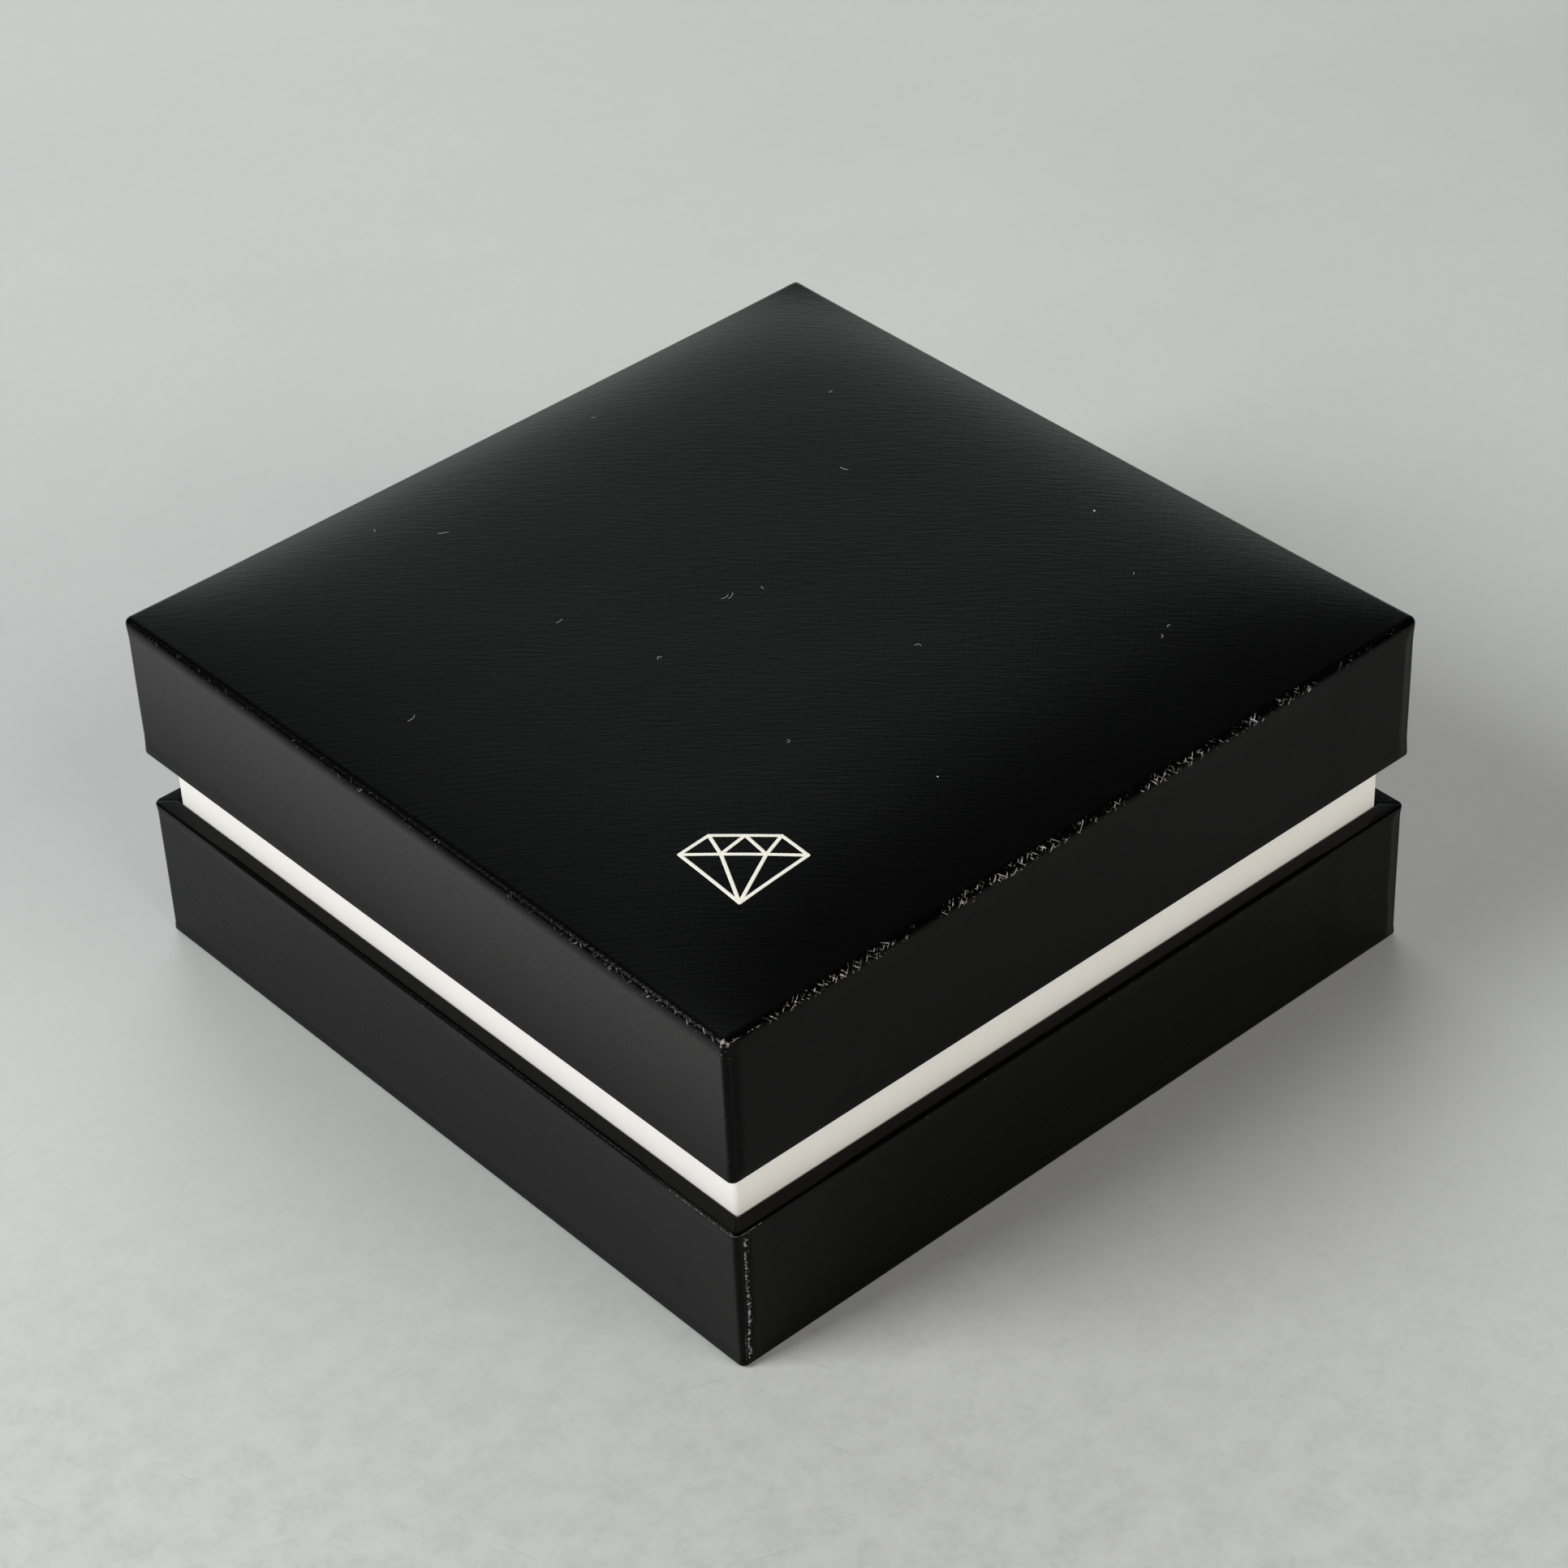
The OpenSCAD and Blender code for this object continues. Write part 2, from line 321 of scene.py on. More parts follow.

# %% [markdown]
# ## Rubbed edges and painted glints
# Handling rubs the black coat off the crests where paper bends over an edge, and leaves short
# pale flecks. The same pale flecks also stand in for glints, where the crests on a fold would
# catch a lamp, so they are partly wear and partly painted glints. The mesh carries a mark, 1 on
# the folds and 0 on the flats. The group keeps only the crests, and only in patches, so that most
# of the fold stays black.

# %% Node group: rubbed edges and painted glints
wear_and_glint_group, given, result = start_group(
    "worn_and_glinting_edge",
    {"Vector": ("vector", None), "Edge": ("float", 0.0), "Line": ("float", 0.0), "Amount": ("float", 0.5)},
    {"Wear_and_glint": "float"})
tree = wear_and_glint_group
patches = noise(tree, given["Vector"], 330.0, 2.0, 0.6)
flecks = noise(tree, given["Vector"], 1700.0, 2.0, 0.7)
# The flecks kept here are partly worn coat and partly painted glints, where the crests on a fold would catch a lamp.
level = product(tree, given["Line"], smooth_step(tree, patches, 0.36, 0.52),
                smooth_step(tree, flecks, 0.30, 0.60, 0.6, 1.1), given["Edge"], given["Amount"])
set_inputs(tree, result, {"Wear_and_glint": smooth_step(tree, level, 0.10, 0.75)})

# %% [markdown]
# ## Dust
# A black box always carries a few pale specks and short fibres. Both come from cells: a Voronoi
# texture gives the distance to the nearest of many scattered points, and only the few cells
# whose own random number is high get a speck.

# %% Node group: dust
dust_group, given, result = start_group(
    "dust", {"Vector": ("vector", None), "Size": ("float", 0.08), "Share": ("float", 0.1)}, {"Speck": "float"})
tree = dust_group
cells = add_node(tree, "ShaderNodeTexVoronoi", {"Vector": given["Vector"], "Scale": 240.0, "Randomness": 1.0})
own = add_node(tree, "ShaderNodeSeparateColor", {0: cells.outputs["Color"]}).outputs
chosen = math_node(tree, "LESS_THAN", own[0], given["Share"])
radius = product(tree, given["Size"], math_node(tree, "MULTIPLY_ADD", own[1], 0.8, 0.3))
inside = math_node(tree, "LESS_THAN", cells.outputs["Distance"], radius)
set_inputs(tree, result, {"Speck": product(tree, chosen, inside)})

# %% [markdown]
# ## Black embossed paper
# The coat is very black, so nearly all that is seen on it is gloss: the floor mirrored softly in
# the walls, and the bright backdrop in the far slopes of the padded top. The roughness changes a
# little with the ridges. Pale, dull colour is mixed in for dust, for rubbed crests that are partly
# painted glints, and for a painted highlight along the lid's front fold by the near corner. The
# left and right walls carry a painted sheen, a faint grey that grows upwards, in place of the
# floor's brighter reflection on those sides. The black is written darker than real paper, to
# match one view; the imported frame's slot has about 0.02.

# %% Material: black embossed paper
def embossed_paper(name, wear_and_glint_amount, relief):
    """Black embossed paper that reads the piece's own paper coordinates and its marks: wear with painted glints and a
    painted highlight, and a painted sheen.
    """
    material, tree, shader = start_material(name, Specular_IOR_Level=0.08, IOR=1.5)
    paper_uv = add_node(tree, "ShaderNodeUVMap", uv_map="paper").outputs[0]
    edge, painted_sheen, scuff_and_highlight = (add_node(tree, "ShaderNodeAttribute", attribute_name=mark).outputs["Fac"]
                         for mark in ("edge", "painted_sheen", "scuff_and_highlight"))
    emboss = use_group(tree, emboss_group, {"Vector": paper_uv})
    wear_and_glint = use_group(tree, wear_and_glint_group, {"Vector": paper_uv, "Edge": edge, "Line": emboss["Line"],
                                      "Amount": wear_and_glint_amount})["Wear_and_glint"]
    speck = use_group(tree, dust_group, {"Vector": paper_uv, "Size": 0.035, "Share": 0.07})["Speck"]
    blotch = noise(tree, paper_uv, 60.0, 4.0)
    black = mix_color(tree, blotch, (0.0006, 0.0006, 0.0006, 1), (0.0014, 0.0014, 0.0015, 1))
    # Painted sheen: on the walls marked for it the black turns a faint grey, more on the crests, in place of the
    # floor's brighter reflection there.
    painted_sheen_share = product(tree, painted_sheen, math_node(tree, "MULTIPLY_ADD", emboss["Height"], 0.8, 0.6))
    black = mix_color(tree, painted_sheen_share, black, (0.030, 0.030, 0.030, 1))
    # Bare patches join the rubbed flecks and are mixed in as pale grey. They are worn paper, painted glints on the
    # fold crests, and one painted highlight line on the lid's front fold.
    bare_and_highlight = smooth_step(tree, math_node(tree, "MULTIPLY_ADD", noise(tree, paper_uv, 2500.0, 2.0), 0.9, scuff_and_highlight), 0.85, 1.15)
    wear_and_glint = math_node(tree, "MAXIMUM", wear_and_glint, product(tree, bare_and_highlight, 0.8))
    color = mix_color(tree, wear_and_glint, black, (0.42, 0.415, 0.41, 1))
    color = mix_color(tree, speck, color, (0.60, 0.60, 0.57, 1))
    dull = product(tree, math_node(tree, "MAXIMUM", wear_and_glint, speck), 0.4)
    rough = math_node(tree, "ADD", math_node(tree, "MULTIPLY_ADD", blotch, 0.08, 0.16), dull)
    set_inputs(tree, shader, {"Base Color": color, "Roughness": rough, "Normal": bump(tree, emboss["Height"], 1.0, relief)})
    return material


lid_paper = embossed_paper("lid_embossed_paper", 1.2, 0.05 * MM)
base_paper = embossed_paper("base_embossed_paper", 0.8, 0.045 * MM)

# %% [markdown]
# ## One square, many rounded rings
# All three papers run round a square with rounded corners. Every ring of such a piece is a core
# square plus a reach outwards: on a side the reach is straight out, and at a corner it turns
# round the core's corner, so that the corner's radius is the reach itself. Where the profile
# goes inside the core, the core shrinks with it.
#
# The sheet is also unfolded: the paper coordinate of a point is where that point lay on the
# flat sheet before it was folded down, so the emboss runs on over every edge as it does on a
# real wrap.

# %% Rounded rings
corner_steps = 6
corner_angles = np.pi / 2 * np.arange(1, corner_steps) / corner_steps


def side_fractions(core, flap_line):
    """Places along a side's straight part, -1 to 1, closer at the ends and with a pair at the flap's edge."""
    step = 1.0 - (flap_line - corner_radius) / core
    half_gap = 0.03 * MM / core
    ends = np.array([step - half_gap, step + half_gap, 1.0])
    spots = np.linspace(-1, 1, 89)[1:-1] * (step - half_gap)
    return np.concatenate([-ends[::-1], spots, ends])


def rounded_rings(core, reach, height, along):
    """Points (rows, columns, 3) of rings round a square. core (rows, 1), reach and height
    (rows, columns), along (rows, spots): fractions of the core's side. Side 0 faces the front."""
    zero = np.zeros((len(core), 1))
    spots = along.shape[1]
    per_side = spots + len(corner_angles)
    straight_x, straight_y = core * along, -core + zero
    corner_x = np.repeat(core, len(corner_angles), axis=1)
    base_x = np.concatenate([straight_x, corner_x], axis=1)
    base_y = np.concatenate([np.repeat(straight_y, spots, axis=1), -corner_x], axis=1)
    out_x = np.concatenate([np.zeros(spots), np.sin(corner_angles)])
    out_y = np.concatenate([-np.ones(spots), -np.cos(corner_angles)])
    points = []
    for side in range(4):
        part = slice(side * per_side, (side + 1) * per_side)
        x = base_x + reach[:, part] * out_x
        y = base_y + reach[:, part] * out_y
        c, s = round(math.cos(side * math.pi / 2)), round(math.sin(side * math.pi / 2))
        points.append(np.stack([c * x - s * y, s * x + c * y, height[:, part]], axis=-1))
    return np.concatenate(points, axis=1)


def unfolded_corners(core, reach, along, spread):
    """Paper coordinate for each corner of each face between rings. spread (rows,) is how far down
    the sheet, from its middle, each ring lies. Across the sheet, a side's points keep their place,
    and a corner's first half adds its arc to one side and its second half to the next."""
    rows, spots = along.shape
    arc = np.concatenate([np.zeros(spots), corner_angles])
    per_side = len(arc)
    late = arc >= np.pi / 4 - 1e-9
    mean_reach = np.maximum(reach[:, :per_side], 0.0)
    base = np.concatenate([core * along, np.repeat(core, len(corner_angles), axis=1)], axis=1)
    across = np.where(late, -(base + mean_reach * (np.pi / 2 - arc)), base + mean_reach * arc)
    across = np.tile(across, (1, 4))
    side = (np.repeat(np.arange(4), per_side) + np.tile(late.astype(int), 4)) % 4
    next_side = np.roll(side, -1)
    next_across = np.roll(across, -1, axis=1) * np.where(side == next_side, 1.0, -1.0)
    c, s = np.cos(side * np.pi / 2).round(), np.sin(side * np.pi / 2).round()

    def on_sheet(row_slice, value):
        down = -spread[row_slice, None] + 0 * value[row_slice]
        v = value[row_slice]
        return np.stack([c * v - s * down, s * v + c * down], axis=-1)

    upper, lower = slice(0, rows - 1), slice(1, rows)
    return np.stack([on_sheet(upper, across), on_sheet(upper, next_across),
                     on_sheet(lower, next_across), on_sheet(lower, across)], axis=2).reshape(-1, 4, 2)


def round_sides(on_side, at_corner):
    """One value for each column: on_side along each straight part, then at_corner over each corner."""
    return np.tile(np.concatenate([on_side, np.broadcast_to(at_corner, corner_angles.shape)]), 4)


def all_round(values):
    """The same values, one for each row, in every column round the box."""
    return np.repeat(values[:, None], columns, axis=1)


def ring_cores(core, h):
    """Each ring's core, which shrinks where the profile goes inside it."""
    return np.minimum(core, h.min(axis=1, keepdims=True) - 0.1 * MM)


def wall_waves(half, z, seed, longest, squeeze=0.35):
    """Gentle waves that run on round all four walls. A squeeze below 1 draws them out along the walls."""
    return gentle_waves((side_of * 2 + place)[None, :] * half * squeeze, z, seed, longest)


def wrap_rings(cores, h, z, inward, along, spread):
    """Points and paper coordinates of a wrap. inward is how far each point lies inside the plain profile."""
    along = np.broadcast_to(along, (len(h), spots))
    return rounded_rings(cores, h - cores - inward, z, along), unfolded_corners(cores, h - cores, along, spread)


def profile_spread(h, z, start):
    """Running length along a profile given by half widths h and heights z, from start at its first row."""
    return start + np.concatenate([[0.0], np.cumsum(np.hypot(np.diff(h), np.diff(z)))])


def quarter_arc(center_h, center_z, radius, first, last, steps):
    """Half widths and heights along an arc, from the first to the last angle in degrees."""
    angle = np.radians(np.linspace(first, last, steps))
    return center_h + radius * np.cos(angle), center_z + radius * np.sin(angle)


def join_rows(*parts):
    """One profile from several parts, each a pair of half widths and heights."""
    return (np.concatenate([np.atleast_1d(h) for h, _ in parts]), np.concatenate([np.atleast_1d(z) for _, z in parts]))


def straight_part(h_first, z_first, h_last, z_last, steps):
    """A straight part of a profile without its two ends."""
    share = np.linspace(0, 1, steps + 2)[1:-1]
    return h_first + (h_last - h_first) * share, z_first + (z_last - z_first) * share


def edit_mesh(piece, edit):
    """Runs edit on a piece's mesh in bmesh form and writes the result back."""
    mesh = bmesh.new()
    mesh.from_mesh(piece.data)
    edit(mesh)
    mesh.to_mesh(piece.data)
    mesh.free()


def weld(mesh):
    """Joins points that lie on each other, so that seams are closed."""
    bmesh.ops.remove_doubles(mesh, verts=mesh.verts, dist=0.8e-6)
    bmesh.ops.dissolve_degenerate(mesh, edges=mesh.edges, dist=1e-9)


def face_out(mesh):
    """Turns all faces of a closed shell outwards."""
    bmesh.ops.recalc_face_normals(mesh, faces=mesh.faces)


def give_thickness(piece, thickness):
    """Solidify on the side away from the face, so the modelled side stays where it is."""
    solid = piece.modifiers.new("thickness", "SOLIDIFY")
    solid.thickness, solid.offset, solid.use_even_offset = thickness, -1.0, False

# %% [markdown]
# ## The lid's wrap
# The lid is one sheet: over the foam, down the walls, under the edge and back up inside. The
# padded top is a low cushion. Its height is the rise times one minus the sixth power of each
# coordinate, which is nearly flat in the middle and falls off close to the edges. The fold
# between wall and top is an arc in every column, and it turns less where the cushion is steep.
#
# At each upright corner the sheet from the side walls reaches round onto the front and back
# walls as a tucked flap, and the front sheet is pulled over it. So the front wall stands one
# paper thickness proud from its cut edge, 1 mm from the corner, to where the flap ends below.

# %% Lid wrap: profile
lid_core = lid_half - corner_radius
layer = 0.09 * MM
lid_inner = -lid_board_high[1] - paper
fold_low = lid_low[2]
inside_top = lid_ceiling_low[2] - 0.4 * MM


def lid_crown(x, y):
    """Height of the padded top over its edge: rise times (1 - |x|^6)(1 - |y|^6), with x and y from -1 to 1."""
    u, v = np.clip(np.abs(x) / lid_core, 0, 1), np.clip(np.abs(y) / lid_core, 0, 1)
    return (crown_rise - 0.05 * MM) * (1 - u ** 6) * (1 - v ** 6)


def lid_dents(x, y):
    """Small hollows in the padded top, in metres, none at the edge."""
    fade = lid_crown(x, y) / crown_rise
    return -fade * (0.5 + 0.5 * gentle_waves(x, y, 3, 34 * MM)) * 0.07 * MM


print("lid inner half width", round(lid_inner / MM, 3), "mm")

# %% Lid wrap: walls
along_lid = side_fractions(lid_core, 1.0 * MM)
spots = len(along_lid)
per_side = spots + len(corner_angles)
columns = 4 * per_side
is_corner = np.tile(np.arange(per_side) >= spots, 4)
side_of = np.repeat(np.arange(4), per_side)
place = round_sides(along_lid, 1.0)

inner_fold, outer_fold = 0.35 * MM, 0.30 * MM
h, z = join_rows(
    (lid_inner, inside_top),
    straight_part(lid_inner, inside_top, lid_inner, fold_low + inner_fold, 9),
    quarter_arc(lid_inner + inner_fold, fold_low + inner_fold, inner_fold, 180, 270, 5),
    quarter_arc(lid_half - outer_fold, fold_low + outer_fold, outer_fold, 270, 360, 6),
    straight_part(lid_half, fold_low + outer_fold, lid_half, lid_edge_z - 1.3 * MM, 16))
arc_rows = 9
steep = 6 * crown_rise / lid_core * (1 - np.abs(place) ** 6)
arc_turn = np.pi / 2 - np.arctan(steep)
arc_radius = corner_radius / (1 - np.cos(arc_turn))
theta = np.linspace(0, 1, arc_rows)[:, None] * arc_turn
lid_h = np.concatenate([all_round(h), lid_half - arc_radius * (1 - np.cos(theta))])
lid_z = np.concatenate([all_round(z), lid_edge_z - arc_radius * np.sin(arc_turn) + arc_radius * np.sin(theta)])
lid_cores = ring_cores(lid_core, lid_h)
lid_cores[-arc_rows:] = lid_core
rows = len(lid_h)
print("lid rings:", rows, "rows of", columns, "points")


def wall_inward(from_corner, past_cut, wave):
    """How far in from the full width each wall point lies: a paper's thickness and a slight bow. The
    front and back stand proud from the cut edge on, to where the flap tucked beneath ends."""
    tucked = 1 - smooth(from_corner, 10 * MM, 14 * MM)
    proud = np.where((side_of % 2 == 0) & ~is_corner, past_cut * tucked, 0.0)
    return layer * (1 - proud) + (0.5 + 0.5 * wave) * 0.05 * MM


outside = np.zeros(rows)
outside[15:] = 1.0
outside[11:15] = np.linspace(0.1, 0.9, 4)
outside = outside[:, None] * np.clip((lid_edge_z - 1.4 * MM - lid_z) / (1.2 * MM), 0, 1)
outside *= np.clip((lid_z - fold_low - 0.5 * MM) / (1.5 * MM), 0, 1)
from_corner = lid_core + corner_radius - np.abs(place) * lid_core
past_cut = np.clip((from_corner - 1.0 * MM) / (0.05 * MM) + 0.5, 0, 1)
inward = outside * wall_inward(from_corner, past_cut, wall_waves(lid_half, lid_z, 11, 26 * MM))
lid_spread = profile_spread(lid_h[:, spots // 2], lid_z[:, spots // 2], 0.0)
lid_spread = lid_core + lid_spread[-1] - lid_spread
ring_points, ring_uv = wrap_rings(lid_cores, lid_h, lid_z, inward, along_lid, lid_spread)

# %% Lid wrap: wear, painted glints, painted highlight and painted sheen
# Amounts of pale flecks along each side's folds. The flecks are wear and painted glints; the front fold gets the most.
front_wear_and_glint = (0.3 + 1.3 * smooth(place, -0.93, -0.88)) * (1 - 0.75 * smooth(place, 0.45, 0.85))
left_wear_and_glint = 0.34 + 0.26 * smooth(place, 0.35, 0.85)
side_wear_and_glint = np.choose(side_of, [front_wear_and_glint, 0.6 + 0 * place, 0.6 + 0 * place, left_wear_and_glint])
turned_share = np.linspace(0, 1, arc_rows)
edge_mark = np.zeros((rows, columns))
edge_mark[-arc_rows:] = np.interp(turned_share, [0, 0.15, 0.5, 0.8, 1], [0.2, 0.9, 1, 0.3, 0.0])[:, None] * side_wear_and_glint
edge_mark[11:21] = np.interp(np.arange(10), [0, 3, 6, 9], [0.2, 0.6, 0.5, 0.0])[:, None] * np.minimum(side_wear_and_glint, 0.6)
near_corner = (side_of == 3) & is_corner
upright = np.where(is_corner, 0.22, np.clip(1 - (1 - np.abs(place)) * lid_core / (0.6 * MM), 0, 1) * 0.2)
edge_mark = np.maximum(edge_mark, upright[None, :] * (outside > 0))

# Scuffs are worn spots at the corners, and one painted highlight: a thin pale line along the front top fold close to
# the near corner.
scuff_and_highlight_mark = np.zeros((rows, columns))
painted_highlight_line = np.exp(-((turned_share - 0.35) / 0.12) ** 2)[:, None]
scuff_and_highlight_mark[-arc_rows:] = painted_highlight_line * 0.50 * ((side_of == 0) & (place < -0.9) & ~is_corner)
at_corner = np.interp(turned_share, [0, 0.3, 0.8, 1], [0.30, 0.56, 0.42, 0.15])[:, None]
scuff_and_highlight_mark[-arc_rows:] = np.maximum(scuff_and_highlight_mark[-arc_rows:], at_corner * np.where(near_corner, 1.0, np.where(is_corner, 0.6, 0.0)))
scuff_and_highlight_mark[-arc_rows - 1] = 0.3 * near_corner
# Painted sheen: a faint grey on the left and right walls, growing upwards and on the left wall towards the back, in
# place of the floor's brighter reflection on those sides.
painted_sheen_mark = np.where(side_of % 2 == 1, smooth(lid_z, lid_low[2] - 8 * MM, lid_edge_z) ** 1.5, 0.0) * (outside > 0)
painted_sheen_mark *= np.where(side_of == 3, 0.75 + 0.25 * smooth(-place, -1, 1), 0.8) * ~is_corner
print("lid wrap's sheet reaches", round(lid_spread[0] / MM, 1), "mm from its middle")

# %% Lid wrap: padded top and joined mesh
top_x, top_y = np.meshgrid(along_lid * lid_core, along_lid * lid_core)
top_z = lid_edge_z + lid_crown(top_x, top_y) + lid_dents(top_x, top_y)
top_points = np.stack([top_x, top_y, top_z], axis=-1).reshape(-1, 3)
top_faces = grid_faces(spots, spots, False)
top_uv = top_points[top_faces][:, :, :2]
no_mark = np.zeros(top_x.size)

lid_points = np.concatenate([ring_points.reshape(-1, 3), top_points])
lid_faces = np.concatenate([grid_faces(rows, columns, True), top_faces + ring_points.size // 3])
lid_skin = new_piece("lid_wrap_skin", lid_points, lid_faces, lid_paper, "lid", replaces=["lid_wrap"],
                     corner_uv=np.concatenate([ring_uv, top_uv]),
                     marks={name: np.concatenate([mark.ravel(), no_mark]) for name, mark in
                            (("edge", edge_mark), ("scuff_and_highlight", scuff_and_highlight_mark), ("painted_sheen", painted_sheen_mark))})
edit_mesh(lid_skin, weld)
give_thickness(lid_skin, 0.1 * MM)

# %% [markdown]
# ## The base's wrap
# The base is wrapped from below: the sheet starts under the tray, comes up the walls, goes over
# the rim and down inside, where the neck covers it. The same rings and the same unfolding serve,
# with another profile. Here the flap's cut edge lies farther from the corner and swings in near
# the foot, as it does where a strip is glued on by hand, and its pale core shows as a thin line.
# On the rim the folded paper sinks a little along each mitre.

# %% Base wrap: profile
base_core = base_half - corner_radius
rim_inner, under_fold = 0.3 * MM, 0.4 * MM
under_z, rim_z = base_low[2], base_high[2]
straight_under = straight_part(base_half - 12 * MM, under_z, base_half - under_fold, under_z, 4)
under_arc = quarter_arc(base_half - under_fold, under_z + under_fold, under_fold, 270, 360, 6)
outer_wall = straight_part(base_half, under_z + under_fold, base_half, rim_z - 0.62 * MM, 22)
first = join_rows((base_half - 12 * MM, under_z), straight_under, under_arc, outer_wall)
last = join_rows(quarter_arc(neck_half + rim_inner, rim_z - rim_inner, rim_inner, 90, 180, 6),
                 straight_part(neck_half, rim_z - rim_inner, neck_half, base_floor_high[2] + 0.4 * MM, 8),
                 (neck_half, base_floor_high[2] + 0.4 * MM))
arc_rows = 10
near_flap = 1.1 * MM
place = round_sides(side_fractions(base_core, near_flap), 1.0)
from_corner = np.where(is_corner, 0.0, base_core * (1 - np.abs(place)) + corner_radius)
rim_radius = 0.34 * MM + 0.28 * MM * smooth(from_corner, 11 * MM, 16 * MM)
theta = np.radians(np.linspace(0, 90, arc_rows))[:, None]
base_h = np.concatenate([all_round(first[0]), base_half - rim_radius * (1 - np.cos(theta)), all_round(last[0])])
base_z = np.concatenate([all_round(first[1]), rim_z - rim_radius * (1 - np.sin(theta)), all_round(last[1])])
rows, rim_start = len(base_h), len(first[0])
base_cores = ring_cores(base_core, base_h)
print("base rings:", rows, "rows of", columns, "points, rim radius up to", round(rim_radius.max() / MM, 2), "mm")

# %% Base wrap: cut edge and pleats
row_z = base_z[:, 0]
cut = np.interp(row_z / MM, [0, 4.2, 5.6, 8, 12, 19], [0.93, 0.94, 1.16, 1.24, 1.12, 1.18]) * MM
along_base = np.stack([side_fractions(base_core, c) for c in cut])
outside = smooth(base_z, under_z + 0.2 * MM, under_z + 1.2 * MM) * (1 - smooth(base_z, rim_z - 1.2 * MM, rim_z - 0.3 * MM))
outside[base_h.min(axis=1) < base_half - 0.7 * MM] = 0.0
before_flap = np.abs(place) < 1 - (near_flap - corner_radius) / base_core
inward = outside * wall_inward(from_corner, before_flap, wall_waves(base_half, base_z, 19, 24 * MM))
mitre = round_sides(np.zeros(spots), 1 - np.abs(corner_angles / (np.pi / 4) - 1))
on_rim = np.zeros((rows, 1))
on_rim[rim_start + 3:rim_start + arc_rows + 2] = np.sin(np.linspace(0.2, np.pi, arc_rows - 1))[:, None]
base_z = base_z - on_rim * mitre * 0.06 * MM
base_spread = profile_spread(base_h[:, 0], base_z[:, 0], base_half - 12 * MM)
ring_points, ring_uv = wrap_rings(base_cores, base_h, base_z, inward, along_base, base_spread)
print("base wrap's sheet reaches", round(base_spread[-1] / MM, 1), "mm from its middle")

# %% Base wrap: wear, painted glints, painted sheen and mesh
angle_share = round_sides(np.zeros(spots), corner_angles / (np.pi / 2))
# Edge marks for the pale flecks on the base's folds, which are wear and painted glints.
edge_mark = np.zeros((rows, columns))
edge_mark[5:12] = np.interp(np.arange(7), [0, 3, 6], [0.2, 0.35, 0.0])[:, None]
edge_mark[rim_start:rim_start + 4] = np.array([0.35, 0.5, 0.35, 0.0])[:, None]
scuff_and_highlight_mark = near_corner * outside * np.where(angle_share < 0.12, 0.40, 0.10) * smooth(base_z, 7 * MM, 9 * MM)
scuff_and_highlight_mark += near_corner * (angle_share < 0.3) * 0.30 * np.exp(-((base_z - 17.2 * MM) / (1.2 * MM)) ** 2)
scuff_and_highlight_mark += near_corner * (angle_share > 0.8) * 0.50 * outside * (1 - smooth(base_z, 4.5 * MM, 6.0 * MM))
flap_edge = np.abs((1 - np.abs(place)) * base_core + corner_radius - near_flap) < 0.05 * MM
torn = (side_of == 0) & (place < 0) & flap_edge & ~is_corner
scuff_and_highlight_mark = np.maximum(scuff_and_highlight_mark, torn * outside * 0.52)
print("columns on the near flap's edge:", int(torn.sum()))
fold_row = np.zeros((rows, 1))
fold_row[rim_start:rim_start + 3] = np.array([0.4, 1.0, 0.5])[:, None]
by_near_corner = ((side_of == 3) & (place > 0.80)) | ((side_of == 0) & (place < -0.93))
scuff_and_highlight_mark = np.maximum(scuff_and_highlight_mark, fold_row * 0.60 * by_near_corner)
# Painted sheen on the base's left and right walls too, growing upwards.
painted_sheen_mark = np.where((side_of % 2 == 1) & ~is_corner, 0.16 * smooth(base_z, 2 * MM, 20 * MM), 0.0) * outside
base_skin = new_piece("base_wrap_skin", ring_points, grid_faces(rows, columns, True), base_paper,
                      "base", replaces=["base_wrap"], corner_uv=ring_uv,
                      marks={"edge": edge_mark.ravel(), "scuff_and_highlight": scuff_and_highlight_mark.ravel(), "painted_sheen": painted_sheen_mark.ravel()})
edit_mesh(base_skin, weld)
give_thickness(base_skin, 0.08 * MM)

# %% [markdown]
# ## The neck's wrap
# The neck is four bare boards in one cream cover. Smooth cover paper shows its making only in a
# faint bow, a soft upper edge, and one thin joint where the strip's end is glued over its start.
# The joint is a step of half a paper's thickness near one end of the front wall.

# %% Material: cream cover paper
neck_paper_material, tree, shader = start_material("neck_cover_paper", Specular_IOR_Level=0.35, Roughness=0.55)
spot_vector = object_place(tree)
fibre = noise(tree, stretched(tree, spot_vector, 0.0, (1.0, 1.0, 0.35)), 1500.0, 4.0, 0.6)
cloud = noise(tree, spot_vector, 45.0, 3.0)
cream = mix_color(tree, cloud, (0.83, 0.815, 0.77, 1), (0.86, 0.85, 0.815, 1))
set_inputs(tree, shader, {"Base Color": cream, "Roughness": math_node(tree, "MULTIPLY_ADD", cloud, 0.12, 0.48),
                          "Normal": bump(tree, fibre, 0.5, 0.02 * MM)})

